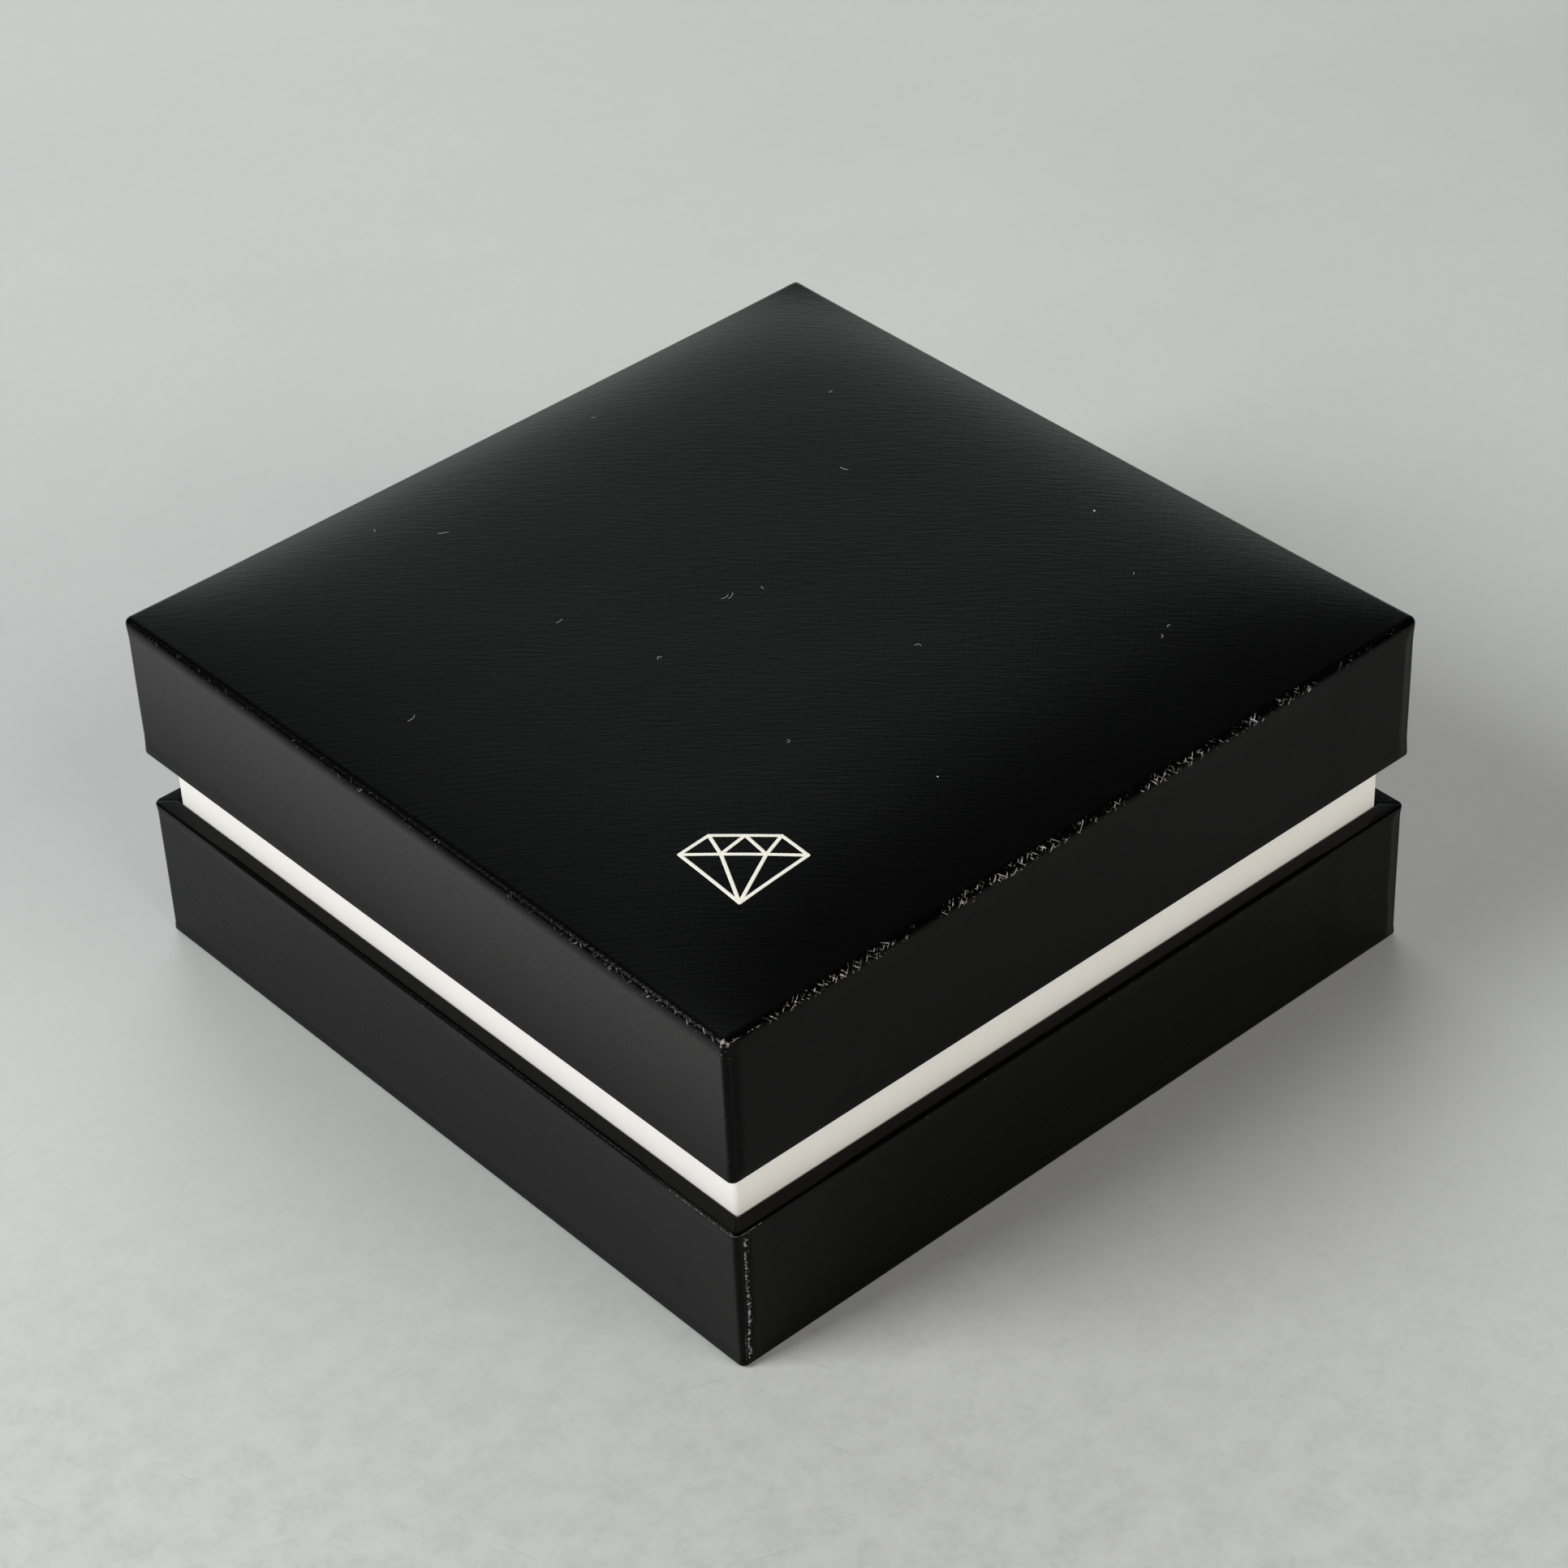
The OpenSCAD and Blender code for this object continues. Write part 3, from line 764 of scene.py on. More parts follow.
# %% Neck wrap
_, neck_board_high = node_box("neck_front_board")
neck_inner = -neck_board_high[1] - paper
neck_radius = 0.75 * MM
neck_core = neck_half - neck_radius
along_neck = side_fractions(neck_core, 1.6 * MM)
neck_top, neck_foot = neck_high[2], neck_low[2]
soft_edge = 0.25 * MM
h, z = join_rows(
    (neck_half, neck_foot),
    straight_part(neck_half, neck_foot, neck_half, neck_top - soft_edge, 18),
    quarter_arc(neck_half - soft_edge, neck_top - soft_edge, soft_edge, 0, 90, 5),
    quarter_arc(neck_inner + soft_edge, neck_top - soft_edge, soft_edge, 90, 180, 5),
    straight_part(neck_inner, neck_top - soft_edge, neck_inner, neck_foot, 12),
    (neck_inner, neck_foot))
rows = len(h)
place = round_sides(along_neck, 1.0)
neck_h, neck_z = all_round(h), all_round(z)
neck_cores = ring_cores(neck_core, neck_h)
on_outside = (h > neck_half - 1e-7)[:, None] * 1.0
wave = wall_waves(neck_half, neck_z, 5, 30 * MM, 0.4)
joint_gap = (neck_core * (1 - place) + neck_radius - 1.35 * MM) / (0.06 * MM)
joint = 0.05 * MM * np.clip(0.5 - joint_gap, 0, 1) * ((side_of == 0) & ~is_corner)
inward = on_outside * ((0.5 + 0.5 * wave) * 0.04 * MM + joint[None, :])
ring_points, ring_uv = wrap_rings(neck_cores, neck_h, neck_z, inward, along_neck, profile_spread(h, z, neck_half))
neck_skin = new_piece("neck_wrap_skin", ring_points, grid_faces(rows, columns, True),
                      neck_paper_material, "base", replaces=["neck_wrap"], corner_uv=ring_uv)
edit_mesh(neck_skin, weld)
give_thickness(neck_skin, 0.06 * MM)

# %% [markdown]
# ## The foil emblem
# A small emblem is printed in pale foil near one corner of the lid. It is a plain cut gem in
# line work: a table, a girdle and a few facets. Each stroke is a long flat capsule. Across it the
# height follows one minus the square of the distance from its middle, so the foil is a hair
# higher than the paper, and the whole stroke is laid on the padded top.

# %% Material: pale foil
foil, tree, shader = start_material("pale_foil_print", Specular_IOR_Level=0.5)
grain = noise(tree, object_place(tree), 2200.0, 3.0, 0.6)
pale = mix_color(tree, grain, (0.66, 0.655, 0.575, 1), (0.80, 0.795, 0.71, 1))
set_inputs(tree, shader, {"Base Color": pale, "Roughness": math_node(tree, "MULTIPLY_ADD", grain, 0.2, 0.35),
                          "Normal": bump(tree, grain, 0.4, 0.02 * MM)})

# %% Foil emblem
gem_middle = np.array([-31.95, -32.6]) * MM
gem_across = np.array([math.cos(math.radians(-45)), math.sin(math.radians(-45))])
gem_up = np.array([-gem_across[1], gem_across[0]])
stroke_width = 0.42 * MM
gem_strokes = np.array([
    [(-3.7, 4.4), (3.7, 4.4)], [(3.7, 4.4), (6.5, 1.5)], [(6.5, 1.5), (0, -5.7)], [(0, -5.7), (-6.5, 1.5)],
    [(-6.5, 1.5), (-3.7, 4.4)], [(-6.5, 1.5), (6.5, 1.5)], [(-3.7, 4.4), (-2.3, 1.5)], [(-2.3, 1.5), (0, 4.4)],
    [(0, 4.4), (2.3, 1.5)], [(2.3, 1.5), (3.7, 4.4)], [(-2.3, 1.5), (0, -5.7)], [(2.3, 1.5), (0, -5.7)]]) * MM


def capsule(start, end, width, steps=28, across=7):
    """A flat stroke with round ends, in the emblem's own plane: the half width at a place is the
    radius of the end cap there, r * sqrt(1 - t^2) within r of an end, and r between."""
    r = width / 2
    length = np.linalg.norm(end - start)
    turn = np.linspace(0, np.pi / 2, 6)
    s = np.concatenate([-r * np.cos(turn), np.linspace(0, length, steps)[1:-1], length + r * np.sin(turn)])
    past_end = np.clip(np.maximum(-s, s - length), 0, r)
    half = np.sqrt(np.maximum(r * r - past_end ** 2, (r * 0.02) ** 2))
    t = np.linspace(-1, 1, across)
    heading = (end - start) / length
    side = np.array([-heading[1], heading[0]])
    flat = start + s[:, None, None] * heading + half[:, None, None] * t[None, :, None] * side
    return flat, np.broadcast_to(1 - t ** 2, flat.shape[:2])


foil_points, foil_faces, count = [], [], 0
for start, end in gem_strokes:
    flat, dome = capsule(start, end, stroke_width)
    xy = gem_middle + flat[..., :1] * gem_across + flat[..., 1:] * gem_up
    lift = lid_edge_z + lid_crown(xy[..., 0], xy[..., 1]) + lid_dents(xy[..., 0], xy[..., 1]) + (0.012 + 0.018 * dome) * MM
    foil_points.append(np.concatenate([xy, lift[..., None]], axis=-1).reshape(-1, 3))
    foil_faces.append(grid_faces(flat.shape[0], flat.shape[1], False)[:, ::-1] + count)
    count += flat.shape[0] * flat.shape[1]
emblem = new_piece("lid_foil_emblem", np.concatenate(foil_points), np.concatenate(foil_faces), foil, "lid")
give_thickness(emblem, 0.02 * MM)

# %% [markdown]
# ## Dust fibres
# A few curled lint fibres lie on the black lid. Each is a very thin five-sided tube along a
# short curl: its heading turns steadily as the fibre goes on, at a rate of its own.

# %% Dust fibres
lint, tree, shader = start_material("pale_lint", Specular_IOR_Level=0.2, Roughness=0.8)
lint_tone = mix_color(tree, noise(tree, object_place(tree), 1800.0), (0.30, 0.30, 0.29, 1), (0.62, 0.62, 0.60, 1))
set_inputs(tree, shader, {"Base Color": lint_tone})

fibres, stations, sides = 16, 14, 5
fibre_x = rng.uniform(-40, 42, fibres) * MM
fibre_y = rng.uniform(-38, 42, fibres) * MM
fibre_length = rng.uniform(0.5, 1.5, fibres) * MM
fibre_turn = rng.uniform(-4.5, 4.5, fibres)
s = np.linspace(0, 1, stations)
heading = rng.uniform(0, 2 * np.pi, fibres)[:, None] + fibre_turn[:, None] * s
step = fibre_length[:, None] / (stations - 1)
path_x = fibre_x[:, None] + np.cumsum(np.cos(heading) * step, axis=1)
path_y = fibre_y[:, None] + np.cumsum(np.sin(heading) * step, axis=1)
ring = np.linspace(0, 2 * np.pi, sides, endpoint=False)
thick = 0.022 * MM * np.sin(np.pi * (0.08 + 0.84 * s)) ** 0.4
x = path_x[..., None] - np.sin(heading)[..., None] * np.cos(ring) * thick[None, :, None]
y = path_y[..., None] + np.cos(heading)[..., None] * np.cos(ring) * thick[None, :, None]
z = (lid_edge_z + lid_crown(x, y) + lid_dents(x, y)) + thick[None, :, None] * (1.0 + np.sin(ring)) + 0.004 * MM
fibre_points = np.stack([x, y, z], axis=-1)
one = grid_faces(stations, sides, True)
fibre_faces = (one[None] + (np.arange(fibres) * stations * sides)[:, None, None]).reshape(-1, 4)
lint_piece = new_piece("lid_dust_fibres", fibre_points, fibre_faces[:, ::-1], lint, "lid")
edit_mesh(lint_piece, lambda mesh: bmesh.ops.holes_fill(mesh, edges=mesh.edges, sides=0))
edit_mesh(lint_piece, face_out)

# %% [markdown]
# ## The foam rolls
# Under the velvet lie two strips of cut foam with a slot between them, and a ring is pushed into
# the slot. Foam is cut square and its upper edges are trimmed round. Each strip is a stack of
# rings: out along the foot, up the walls, over a quarter arc, and in over a low crown to the
# middle of the top. The rings are rectangles with round corners, rounder towards the top: below,
# the corners have to stay sharp enough to take in the corners of the card.

# %% Material: open-cell foam
foam, tree, shader = start_material("cream_foam", Specular_IOR_Level=0.2, Roughness=0.9, Subsurface_Weight=0.0)
cells = add_node(tree, "ShaderNodeTexVoronoi", {"Vector": object_place(tree), "Scale": 1600.0}).outputs["Distance"]
foam_tone = mix_color(tree, smooth_step(tree, cells, 0.1, 0.6), (0.62, 0.60, 0.53, 1), (0.84, 0.82, 0.76, 1))
set_inputs(tree, shader, {"Base Color": foam_tone, "Normal": bump(tree, cells, 0.8, 0.15 * MM)})

# %% Padded strips
def roll_shape(half_x, low_y, high_y, foot, top, shoulder, crown):
    """Rings (rows, columns, 3) of a padded strip. A point p of a plain rectangle's outline is first
    brought to the nearest point c of a core that is smaller by the corner's radius, and then
    goes out again from c by that radius, in the direction of p."""
    long_side, short_side = np.linspace(-1, 1, 48, endpoint=False), np.linspace(-1, 1, 26, endpoint=False)
    u = np.concatenate([long_side, np.ones(26), -long_side, -np.ones(26)])
    v = np.concatenate([-np.ones(48), short_side, np.ones(48), -short_side])
    fold, up, turn = 0.5 * MM, np.radians(np.linspace(-90, 0, 6)), np.radians(np.linspace(0, 90, 14))
    wall_z = np.linspace(foot + fold, top - crown - shoulder, 14)[1:-1]
    inward = np.linspace(1, 0, 16)[1:]
    outward = np.linspace(0, 1, 9)[:-1]
    inset = np.concatenate([0 * outward + fold, fold * (1 - np.cos(up)), 0 * wall_z,
                            shoulder * (1 - np.cos(turn)), 0 * inward + shoulder])
    z = np.concatenate([0 * outward + foot, foot + fold * (1 + np.sin(up)), wall_z,
                        top - crown - shoulder * (1 - np.sin(turn)), top - crown * inward ** 2])
    scale = np.concatenate([outward, np.ones(6 + len(wall_z) + 14), inward])
    radius = np.interp(z, [foot, top - crown - shoulder, top - crown], [0.7 * MM, 1.2 * MM, 5.0 * MM]) * scale
    half = np.stack([(half_x - inset) * scale, ((high_y - low_y) / 2 - inset) * scale], axis=-1)[:, None, :]
    outline = half * np.stack([u, v], axis=-1)
    core = np.clip(outline, radius[:, None, None] - half, half - radius[:, None, None])
    away = outline - core
    away = away / np.maximum(np.linalg.norm(away, axis=-1, keepdims=True), 1e-12)
    ring = core + away * radius[:, None, None]
    x, y = ring[..., 0], (low_y + high_y) / 2 + ring[..., 1]
    return np.stack([x, y, np.broadcast_to(z[:, None], x.shape)], axis=-1)


def new_roll(name, sign, shape, material, replaced):
    """A closed roll from the rings of the back one. A sign of -1 mirrors it to the front."""
    shape[..., 1] *= sign
    roll = new_piece(name, shape, grid_faces(*shape.shape[:2], True), material, "pad", replaces=[replaced])
    edit_mesh(roll, weld)
    edit_mesh(roll, face_out)
    return roll


# %% Foam rolls
foam_low, foam_high = node_box("pad_back_foam_roll")
for end_name, sign in (("front", -1), ("back", 1)):
    shape = roll_shape(foam_high[0] - 0.85 * MM, foam_low[1] + 0.75 * MM, foam_high[1] - 0.85 * MM, foam_low[2] + 0.05 * MM,
                       foam_high[2] - 0.95 * MM, 4.6 * MM, 0.4 * MM)
    roll = new_roll(f"pad_{end_name}_foam_strip", sign, shape, foam, f"pad_{end_name}_foam_roll")
print("foam strips", np.round((foam_high - foam_low) / MM, 1), "mm before trimming")

# %% [markdown]
# ## The velvet cover
# Velvet drawn over foam is full on top, soft at its shoulders and slightly uneven. So each
# strip's cover is remeshed evenly, and a cloth simulation blows it up from inside. It is
# simulated at five times its size, where cloth behaves well, then brought back.
#
# Left alone, a wide low cover under pressure turns rounder: its top rises and its long sides are
# drawn in. Two things stop that in the real pad, so they are added after the simulation. The foam
# behind the cover lets no point sink more than 0.05 mm, and the foot is stretched round the card
# and glued, so it does not move at all. No point goes further than 0.8 mm, so most of the form is
# that of the rings it starts from, and the cloth adds only the last of it.

# %% Material: black velvet
velvet, tree, shader = start_material("black_velvet", Specular_IOR_Level=0.1, Sheen_Weight=0.32, Sheen_Roughness=0.35)
shader.inputs["Sheen Tint"].default_value = (0.55, 0.56, 0.60, 1)
velvet_place = object_place(tree)
pile = noise(tree, velvet_place, 3000.0, 2.0, 0.7)
brushed = noise(tree, stretched(tree, velvet_place, 0.3, (1.0, 2.2, 1.0)), 120.0, 3.0, 0.6)
deep = mix_color(tree, smooth_step(tree, brushed, 0.25, 0.75), (0.010, 0.010, 0.011, 1), (0.021, 0.021, 0.024, 1))
deep = mix_color(tree, product(tree, pile, 0.3), deep, (0.045, 0.045, 0.05, 1))
set_inputs(tree, shader, {"Base Color": deep, "Roughness": math_node(tree, "MULTIPLY_ADD", brushed, 0.15, 0.75),
                          "Normal": bump(tree, math_node(tree, "MULTIPLY_ADD", brushed, 0.8, pile), 0.5, 0.07 * MM)})

# %% Velvet rolls
sim_scale, sim_cap, sim_sink, sim_frames = 5.0, 0.8 * MM, 0.05 * MM, 20
velvet_reach, velvet_top, velvet_foot, slot_face = pad_high[0], pad_high[2], pad_low[2], 2.3 * MM


def simulate_cover(piece):
    """Remeshes a closed cover, swells it with cloth pressure, and limits each point's way: its part
    along the outward normal is no less than minus sim_sink, and its length no more than sim_cap."""
    piece.data.vertices.foreach_set("co", read_points(piece).ravel() * sim_scale)
    remesh = piece.modifiers.new("even", "REMESH")
    remesh.mode, remesh.voxel_size, remesh.use_smooth_shade = "VOXEL", 1.0 * MM * sim_scale, True
    bpy.context.view_layer.objects.active = piece
    piece.select_set(True)
    bpy.ops.object.modifier_apply(modifier=remesh.name)
    start = read_points(piece)
    cloth = piece.modifiers.new("cloth", "CLOTH")
    for setting, value in (("quality", 6), ("mass", 0.3), ("tension_stiffness", 8), ("compression_stiffness", 8),
                           ("bending_stiffness", 0.4), ("use_pressure", True), ("uniform_pressure_force", 4.0)):
        setattr(cloth.settings, setting, value)
    cloth.settings.effector_weights.gravity = 0.0
    cloth.collision_settings.use_collision = False
    cloth.point_cache.frame_start, cloth.point_cache.frame_end = 1, sim_frames
    for frame_number in range(1, sim_frames + 1):
        bpy.context.scene.frame_set(frame_number)
    bpy.ops.object.modifier_apply(modifier=cloth.name)
    bpy.context.scene.frame_set(1)
    end, normal = read_points(piece), np.empty(start.size)
    write_points(piece, start)
    piece.data.vertex_normals.foreach_get("vector", normal)
    piece.select_set(False)
    moved, start, normal = (end - start) / sim_scale, start / sim_scale, normal.reshape(-1, 3)
    distance = np.linalg.norm(moved, axis=1)
    outwards = (moved * normal).sum(axis=1)
    print(piece.name, "cloth went", round(float(distance.max()) / MM, 1), "mm at most;",
          round(100 * float((outwards < 0).mean())), "% of its points went inwards")
    moved = moved + np.maximum(-sim_sink - outwards, 0)[:, None] * normal
    distance = np.linalg.norm(moved, axis=1)
    held = moved * np.minimum(1, sim_cap / np.maximum(distance, 1e-9))[:, None]
    return start + held * smooth(start[:, 2], 4.5 * MM, 9 * MM)[:, None]


card_from, card_to, push = 43.4 * MM, 44.6 * MM, 0.5 * MM
velvet_rolls = {}
for end_name, sign in (("front", -1), ("back", 1)):
    shape = roll_shape(velvet_reach - 0.12 * MM, slot_face + 0.1 * MM, velvet_reach - 0.12 * MM, velvet_foot + 0.32 * MM,
                       velvet_top - 0.75 * MM, 5.0 * MM, 0.5 * MM)
    cover = new_roll(f"pad_{end_name}_velvet_roll", sign, shape, velvet, "pad_velvet_cover")
    x, y, z = simulate_cover(cover).T
    z = z + 0.16 * MM * gentle_waves(x, y, 41 + sign, 22 * MM) * smooth(z, 10 * MM, 19 * MM)
    low_down = 1 - smooth(z, 5 * MM, 8 * MM)
    at_card_corner = smooth(np.minimum(np.abs(x), np.abs(y)), card_from, card_to) * low_down
    x, y = x + np.sign(x) * push * at_card_corner, y + np.sign(y) * push * at_card_corner
    beside_slot = 1 - smooth(np.abs(y), 3.6 * MM, 4.6 * MM)
    at_slot_end = smooth(np.abs(x), card_from, card_to) * beside_slot * low_down
    x, y = x + np.sign(x) * push * at_slot_end, y - np.sign(y) * 0.4 * MM * at_slot_end
    x = np.clip(x, -velvet_reach, velvet_reach)
    y = sign * np.clip(sign * y, slot_face - 0.05 * MM, velvet_reach)
    z = np.clip(z, velvet_foot + 0.25 * MM, velvet_top)
    write_points(cover, np.stack([x, y, z], axis=-1))
    smoother = cover.modifiers.new("smooth", "SUBSURF")
    smoother.levels = smoother.render_levels = 1
    velvet_rolls[end_name] = cover

# %% [markdown]
# ## The velvet in the slot and below
# Between the rolls the cover is tucked down to the card. This strip is a sheet of cloth bent
# into a U: straight down one side, round two quarter arcs, and up the other. At both ends it is
# drawn down over the card's edge. A second sheet, flat and tight, covers the pad's underside.

# %% Slot velvet
slot_floor, slot_top, slot_reach = 4.45 * MM, 9.0 * MM, velvet_reach - 0.25 * MM
u_radius, u_half = 1.3 * MM, slot_face - 0.06 * MM
arc = np.radians(np.linspace(0, 90, 8))
y_right = np.concatenate([[u_half, u_half], u_half - u_radius + u_radius * np.cos(arc)[1:], [0.3 * MM]])
z_right = np.concatenate([[slot_top, slot_floor + u_radius], slot_floor + u_radius - u_radius * np.sin(arc)[1:], [slot_floor]])
u_y = np.concatenate([-y_right, y_right[::-1]])
u_z = np.concatenate([z_right, z_right[::-1]])
tuck = np.radians(np.linspace(0, 90, 7))
last_x = slot_reach - 0.35 * MM + 0.35 * MM * np.sin(tuck)
slot_x = np.concatenate([-last_x[::-1], np.linspace(-last_x[0], last_x[0], 88)[1:-1], last_x])
keep = np.interp(np.abs(slot_x), last_x, np.cos(tuck))[:, None]
strip_x, strip_y = np.meshgrid(slot_x, u_y, indexing="ij")
strip_z = np.broadcast_to(u_z, strip_x.shape) + 0.10 * MM * gentle_waves(strip_x, strip_y, 51, 14 * MM)
strip_z = 2.7 * MM + (strip_z - 2.7 * MM) * keep
strip_points = np.stack([strip_x, strip_y, strip_z], axis=-1)
slot_velvet = new_piece("pad_slot_velvet", strip_points, grid_faces(len(slot_x), len(u_y), False)[:, ::-1], velvet, "pad",
                        replaces=["pad_velvet_cover"])
give_thickness(slot_velvet, 0.3 * MM)

# %% Velvet underside
under_half = velvet_reach - 0.4 * MM
under_x, under_y = np.meshgrid(np.linspace(-under_half, under_half, 48), np.linspace(-under_half, under_half, 48))
under_sheet_z = velvet_foot + 0.22 * MM + 0.03 * MM * gentle_waves(under_x, under_y, 61, 20 * MM)
underside = new_piece("pad_velvet_underside", np.stack([under_x, under_y, under_sheet_z], axis=-1),
                      grid_faces(48, 48, False), velvet, "pad", replaces=["pad_velvet_cover"])
give_thickness(underside, 0.15 * MM)

# %% [markdown]
# ## The satin tab
# A ribbon tab lifts the pad out. It starts low on the front face, comes up it, and lies on
# the front roll with its end free. The path is measured from the finished velvet: at each place
# the ribbon lies on the highest velvet point near it. The free end lifts a little and has a
# cut like a swallow's tail.

# %% Material: black satin ribbon
satin, tree, shader = start_material("black_satin_ribbon", Specular_IOR_Level=0.5, Sheen_Weight=0.15)
ribbon_uv = add_node(tree, "ShaderNodeUVMap", uv_map="paper").outputs[0]
warp = noise(tree, stretched(tree, ribbon_uv, 0.0, (9000.0, 500.0, 1.0)), 1.0, 2.0)
weft = noise(tree, stretched(tree, ribbon_uv, 0.0, (700.0, 6000.0, 1.0)), 1.0, 2.0)
sheen_line = mix_color(tree, warp, (0.006, 0.006, 0.007, 1), (0.022, 0.022, 0.024, 1))
set_inputs(tree, shader, {"Base Color": sheen_line, "Roughness": math_node(tree, "MULTIPLY_ADD", weft, 0.2, 0.22),
                          "Normal": bump(tree, math_node(tree, "MULTIPLY_ADD", warp, 0.7, weft), 0.5, 0.04 * MM)})

# %% Satin tab
ribbon_low, ribbon_high = node_box("pad_ribbon_tab")
ribbon_half, ribbon_thick = (ribbon_high[0] - ribbon_low[0]) / 2, 0.2 * MM
front_roll = velvet_rolls["front"]
roll_points = read_points(front_roll)
under_tab = roll_points[(np.abs(roll_points[:, 0]) < ribbon_half + 1.0 * MM) & (roll_points[:, 2] > 12 * MM)]
face_y = ribbon_low[1] + ribbon_thick / 2
bend_radius = 1.2 * MM
reach_y = np.linspace(face_y + bend_radius, ribbon_high[1], 40)
near = np.abs(under_tab[None, :, 1] - reach_y[:, None]) < 1.1 * MM
crest = np.where(near, under_tab[None, :, 2], 0).max(axis=1) + 0.12 * MM + ribbon_thick
crest = np.convolve(np.pad(crest, 3, mode="edge"), np.ones(7) / 7, mode="valid") + 0.05 * MM
crest = np.minimum(crest, ribbon_high[2] + 0.5 * MM)
lifted = smooth(reach_y, ribbon_high[1] - 7 * MM, ribbon_high[1]) * 1.1 * MM
rise_z = np.linspace(ribbon_low[2], crest[0] - bend_radius, 26)
bend = np.radians(np.linspace(180, 90, 8))[1:-1]
bend_y = face_y + bend_radius + bend_radius * np.cos(bend)
bend_z = crest[0] - bend_radius + bend_radius * np.sin(bend)
tab_y = np.concatenate([np.full(26, face_y), bend_y, reach_y])
tab_z = np.concatenate([rise_z, bend_z, crest + lifted])
run = np.concatenate([[0], np.cumsum(np.hypot(np.diff(tab_y), np.diff(tab_z)))])
across = np.linspace(-1, 1, 17)
end_cut = 2.6 * MM * (1 - np.abs(across))
whole = run[-1]
run_cut = np.minimum(run[:, None], whole - end_cut[None, :] * smooth(run, whole - 8 * MM, whole)[:, None])
tab_x = np.repeat((across * ribbon_half)[None, :], len(run), axis=0)
points_y = np.interp(run_cut, run, tab_y)
cupping = 0.10 * MM * smooth(run, whole - 14 * MM, whole)[:, None] * np.cos(across * 2.5)[None, :]
points_z = np.interp(run_cut, run, tab_z) + cupping
tab_points = np.stack([tab_x, points_y, points_z], axis=-1)
tab_faces = grid_faces(len(run), len(across), False)
flat_uv = np.stack([tab_x, run_cut], axis=-1).reshape(-1, 2)
tab = new_piece("pad_satin_tab", tab_points, tab_faces, satin, "pad", replaces=["pad_ribbon_tab"],
                corner_uv=flat_uv[tab_faces])
give_thickness(tab, ribbon_thick)
print("tab is", round(2 * ribbon_half / MM, 1), "by", round(whole / MM, 1), "mm")

# %% [markdown]
# ## Boards, liners and tape
# The CAD nodes inside the box keep their shapes and get the finishes of their trades: grey
# board is felted from waste paper and shows flecks and short fibres, the liners are a fine
# black paper, the corners are held with brown gummed tape, and the pad sits on pale card.

# %% Materials: board, liner, tape and card
def fibre_stock(name, dark, light, fleck, fleck_share, roughness, relief):
    """Paper or board: two tones in soft clouds, short fibres in two headings, and a few flecks."""
    material, tree, shader = start_material(name, Specular_IOR_Level=0.25)
    place = object_place(tree)
    cloud = noise(tree, place, 220.0, 4.0, 0.6)
    fibres = math_node(tree, "MAXIMUM", noise(tree, stretched(tree, place, 0.5, (1.0, 0.25, 0.6)), 1400.0, 3.0, 0.65),
                       noise(tree, stretched(tree, place, -0.7, (0.25, 1.0, 0.6)), 1400.0, 3.0, 0.65))
    blend = math_node(tree, "MULTIPLY_ADD", fibres, 0.6, product(tree, cloud, 0.4))
    tone = mix_color(tree, smooth_step(tree, blend, 0.35, 0.65), dark, light)
    specks = use_group(tree, dust_group, {"Vector": stretched(tree, place, 0.2, (3.0, 3.0, 3.0)), "Size": 0.2,
                                          "Share": fleck_share})["Speck"]
    tone = mix_color(tree, specks, tone, fleck)
    rough = math_node(tree, "MULTIPLY_ADD", fibres, 0.15, roughness - 0.07)
    set_inputs(tree, shader, {"Base Color": tone, "Roughness": rough, "Normal": bump(tree, fibres, 0.6, relief)})
    return material


grey_board = fibre_stock("grey_board", (0.40, 0.37, 0.33, 1), (0.58, 0.55, 0.50, 1), (0.20, 0.17, 0.14, 1), 0.25, 0.85, 0.10 * MM)
lining_paper = fibre_stock("black_lining_paper", (0.018, 0.018, 0.019, 1), (0.042, 0.042, 0.045, 1),
                           (0.07, 0.07, 0.07, 1), 0.03, 0.7, 0.04 * MM)
gummed_tape = fibre_stock("brown_gummed_tape", (0.36, 0.23, 0.12, 1), (0.50, 0.34, 0.20, 1),
                          (0.25, 0.15, 0.08, 1), 0.1, 0.55, 0.05 * MM)
pad_card = fibre_stock("pale_pad_card", (0.62, 0.60, 0.54, 1), (0.76, 0.74, 0.69, 1),
                       (0.45, 0.42, 0.36, 1), 0.06, 0.75, 0.05 * MM)

# %% Finishes of the CAD nodes
finish_by_word = [("stays", gummed_tape), ("liner", lining_paper), ("bottom_sheet", lining_paper), ("pad_card", pad_card),
                  ("foam", foam), ("neck_wrap", neck_paper_material), ("lid_wrap", lid_paper), ("base_wrap", base_paper),
                  ("velvet", velvet), ("ribbon", satin), ("board", grey_board)]
for name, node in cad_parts.items():
    finish = next(material for word, material in finish_by_word if word in name)
    node.data.materials.clear()
    node.data.materials.append(finish)
print("finished", len(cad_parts), "CAD nodes")

# %% [markdown]
# ## Floor
# The box stands on a plain pale grey board. Real studio floors are never one grey: they carry
# broad faint clouds, a fine tooth, some specks and a few hair scratches, and all of these are
# kept very weak here. The board is more handled, so more marked, towards its front edge. The
# floor is one large square, far wider than the view.

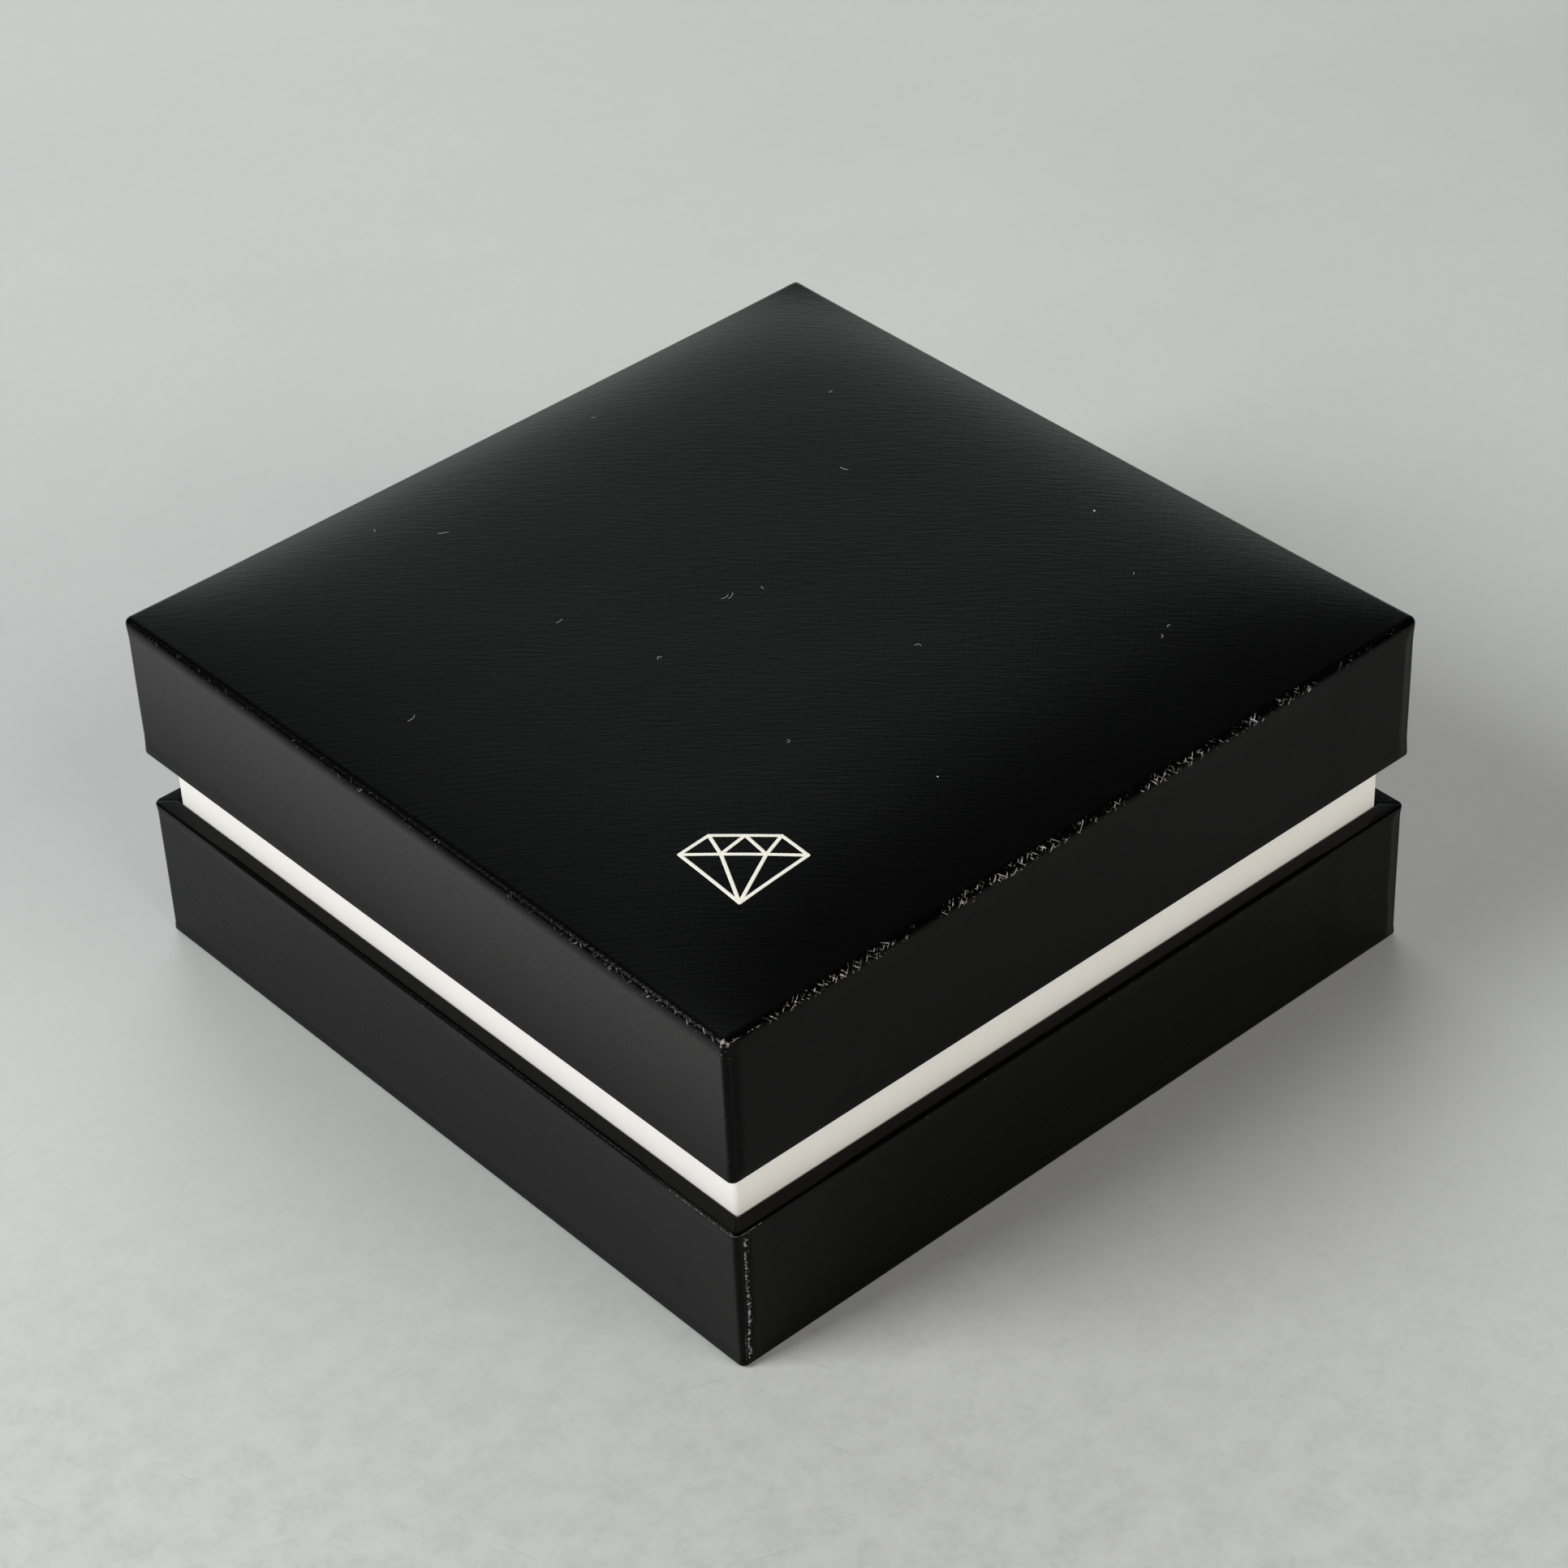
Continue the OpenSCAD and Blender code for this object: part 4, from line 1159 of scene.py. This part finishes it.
# %% Floor
floor_paint, tree, shader = start_material("floor_paint", Specular_IOR_Level=0.8, Roughness=0.45)
floor_place = object_place(tree)
clouds = noise(tree, floor_place, 9.0, 5.0, 0.55)
tooth = noise(tree, floor_place, 900.0, 3.0, 0.6)
tint = mix_color(tree, smooth_step(tree, clouds, 0.3, 0.7), (0.460, 0.473, 0.468, 1), (0.495, 0.508, 0.502, 1))
parts = add_node(tree, "ShaderNodeSeparateXYZ", {"Vector": floor_place})
toward_front = product(tree, math_node(tree, "ADD", parts.outputs[0], parts.outputs[1]), -1.0)
worn = smooth_step(tree, toward_front, 0.02, 0.15, 0.35, 1.9)
mottle = noise(tree, floor_place, 250.0, 3.0, 0.6)
hairs = math_node(tree, "MAXIMUM", strokes(tree, floor_place, 22, 14 * MM, 0.45 * MM, 3.0),
                  strokes(tree, floor_place, 74, 11 * MM, 0.45 * MM, 9.0))
for mark, low, high, most, color in ((tooth, 0.35, 0.65, 0.38, (0.42, 0.43, 0.425, 1)),
                                     (mottle, 0.35, 0.65, 0.32, (0.53, 0.543, 0.537, 1)),
                                     (hairs, 0.68, 0.76, 0.28, (0.34, 0.35, 0.345, 1))):
    tint = mix_color(tree, product(tree, smooth_step(tree, mark, low, high, 0.0, most), worn), tint, color)
specks = use_group(tree, dust_group, {"Vector": floor_place, "Size": 0.03, "Share": 0.05})["Speck"]
tint = mix_color(tree, product(tree, specks, 0.5), tint, (0.25, 0.25, 0.24, 1))
set_inputs(tree, shader, {"Base Color": tint, "Normal": bump(tree, tooth, 0.3, 0.02 * MM)})

floor_mesh = bpy.data.meshes.new("floor")
floor_x, floor_y = np.meshgrid(np.linspace(-3, 3, 13), np.linspace(-3, 3, 13))
floor_points = np.stack([floor_x, floor_y, 0 * floor_x], axis=-1).reshape(-1, 3)
floor_mesh.from_pydata(floor_points.tolist(), [], grid_faces(13, 13, False).tolist())
floor_mesh.materials.append(floor_paint)
floor = bpy.data.objects.new("floor", floor_mesh)
bpy.context.scene.collection.objects.link(floor)

# %% [markdown]
# ## Light
# One large soft lamp stands to the left and a little behind, a weaker one in front. Black glossy
# paper shows its surroundings more than its colour, so the world matters as much as the lamps:
# it is a dark room overhead that grows pale towards the horizon behind the box.

# %% Lamps
def soft_lamp(name, heading, distance, size, strength):
    """A square area lamp aimed at the box. strength is what a white surface facing it would show:
    power = strength * pi^2 * distance^2."""
    data = bpy.data.lights.new(name, "AREA")
    data.shape, data.size = "SQUARE", size
    data.energy = strength * math.pi ** 2 * distance ** 2
    lamp = bpy.data.objects.new(name, data)
    direction = Vector(heading).normalized()
    lamp.location = Vector((0, 0, 0.02)) + direction * distance
    lamp.rotation_euler = direction.to_track_quat("Z", "Y").to_euler()
    bpy.context.scene.collection.objects.link(lamp)
    return lamp


key = soft_lamp("key_lamp", (-0.73, 0.28, 0.62), 1.5, 0.75, 1.15)
fill = soft_lamp("fill_lamp", (0.1, -0.86, 0.50), 1.5, 1.2, 0.76)
fill.data.color = (1.0, 0.965, 0.905)
behind = soft_lamp("back_lamp", (0.45, 0.72, 0.50), 0.8, 0.5, 0.20)
fill.visible_glossy = False
behind.visible_glossy = False

# %% World
world = bpy.data.worlds.new("studio")
world.use_nodes = True
bpy.context.scene.world = world
tree = world.node_tree
sky = tree.nodes["Background"]
heading = add_node(tree, "ShaderNodeTexCoord").outputs["Generated"]
axes = add_node(tree, "ShaderNodeSeparateXYZ", {0: heading}).outputs
panel = product(tree, smooth_step(tree, axes[1], 0.42, 0.66, 0.25, 1.0), smooth_step(tree, axes[0], -0.20, 0.12),
                smooth_step(tree, axes[1], -0.1, 0.2), smooth_step(tree, axes[2], 0.15, 0.70, 1.0, 0.62))
set_inputs(tree, sky, {"Color": mix_color(tree, panel, (0.003, 0.003, 0.003, 1), (1.06, 1.10, 1.10, 1))})
bpy.context.scene.view_settings.view_transform = "Standard"
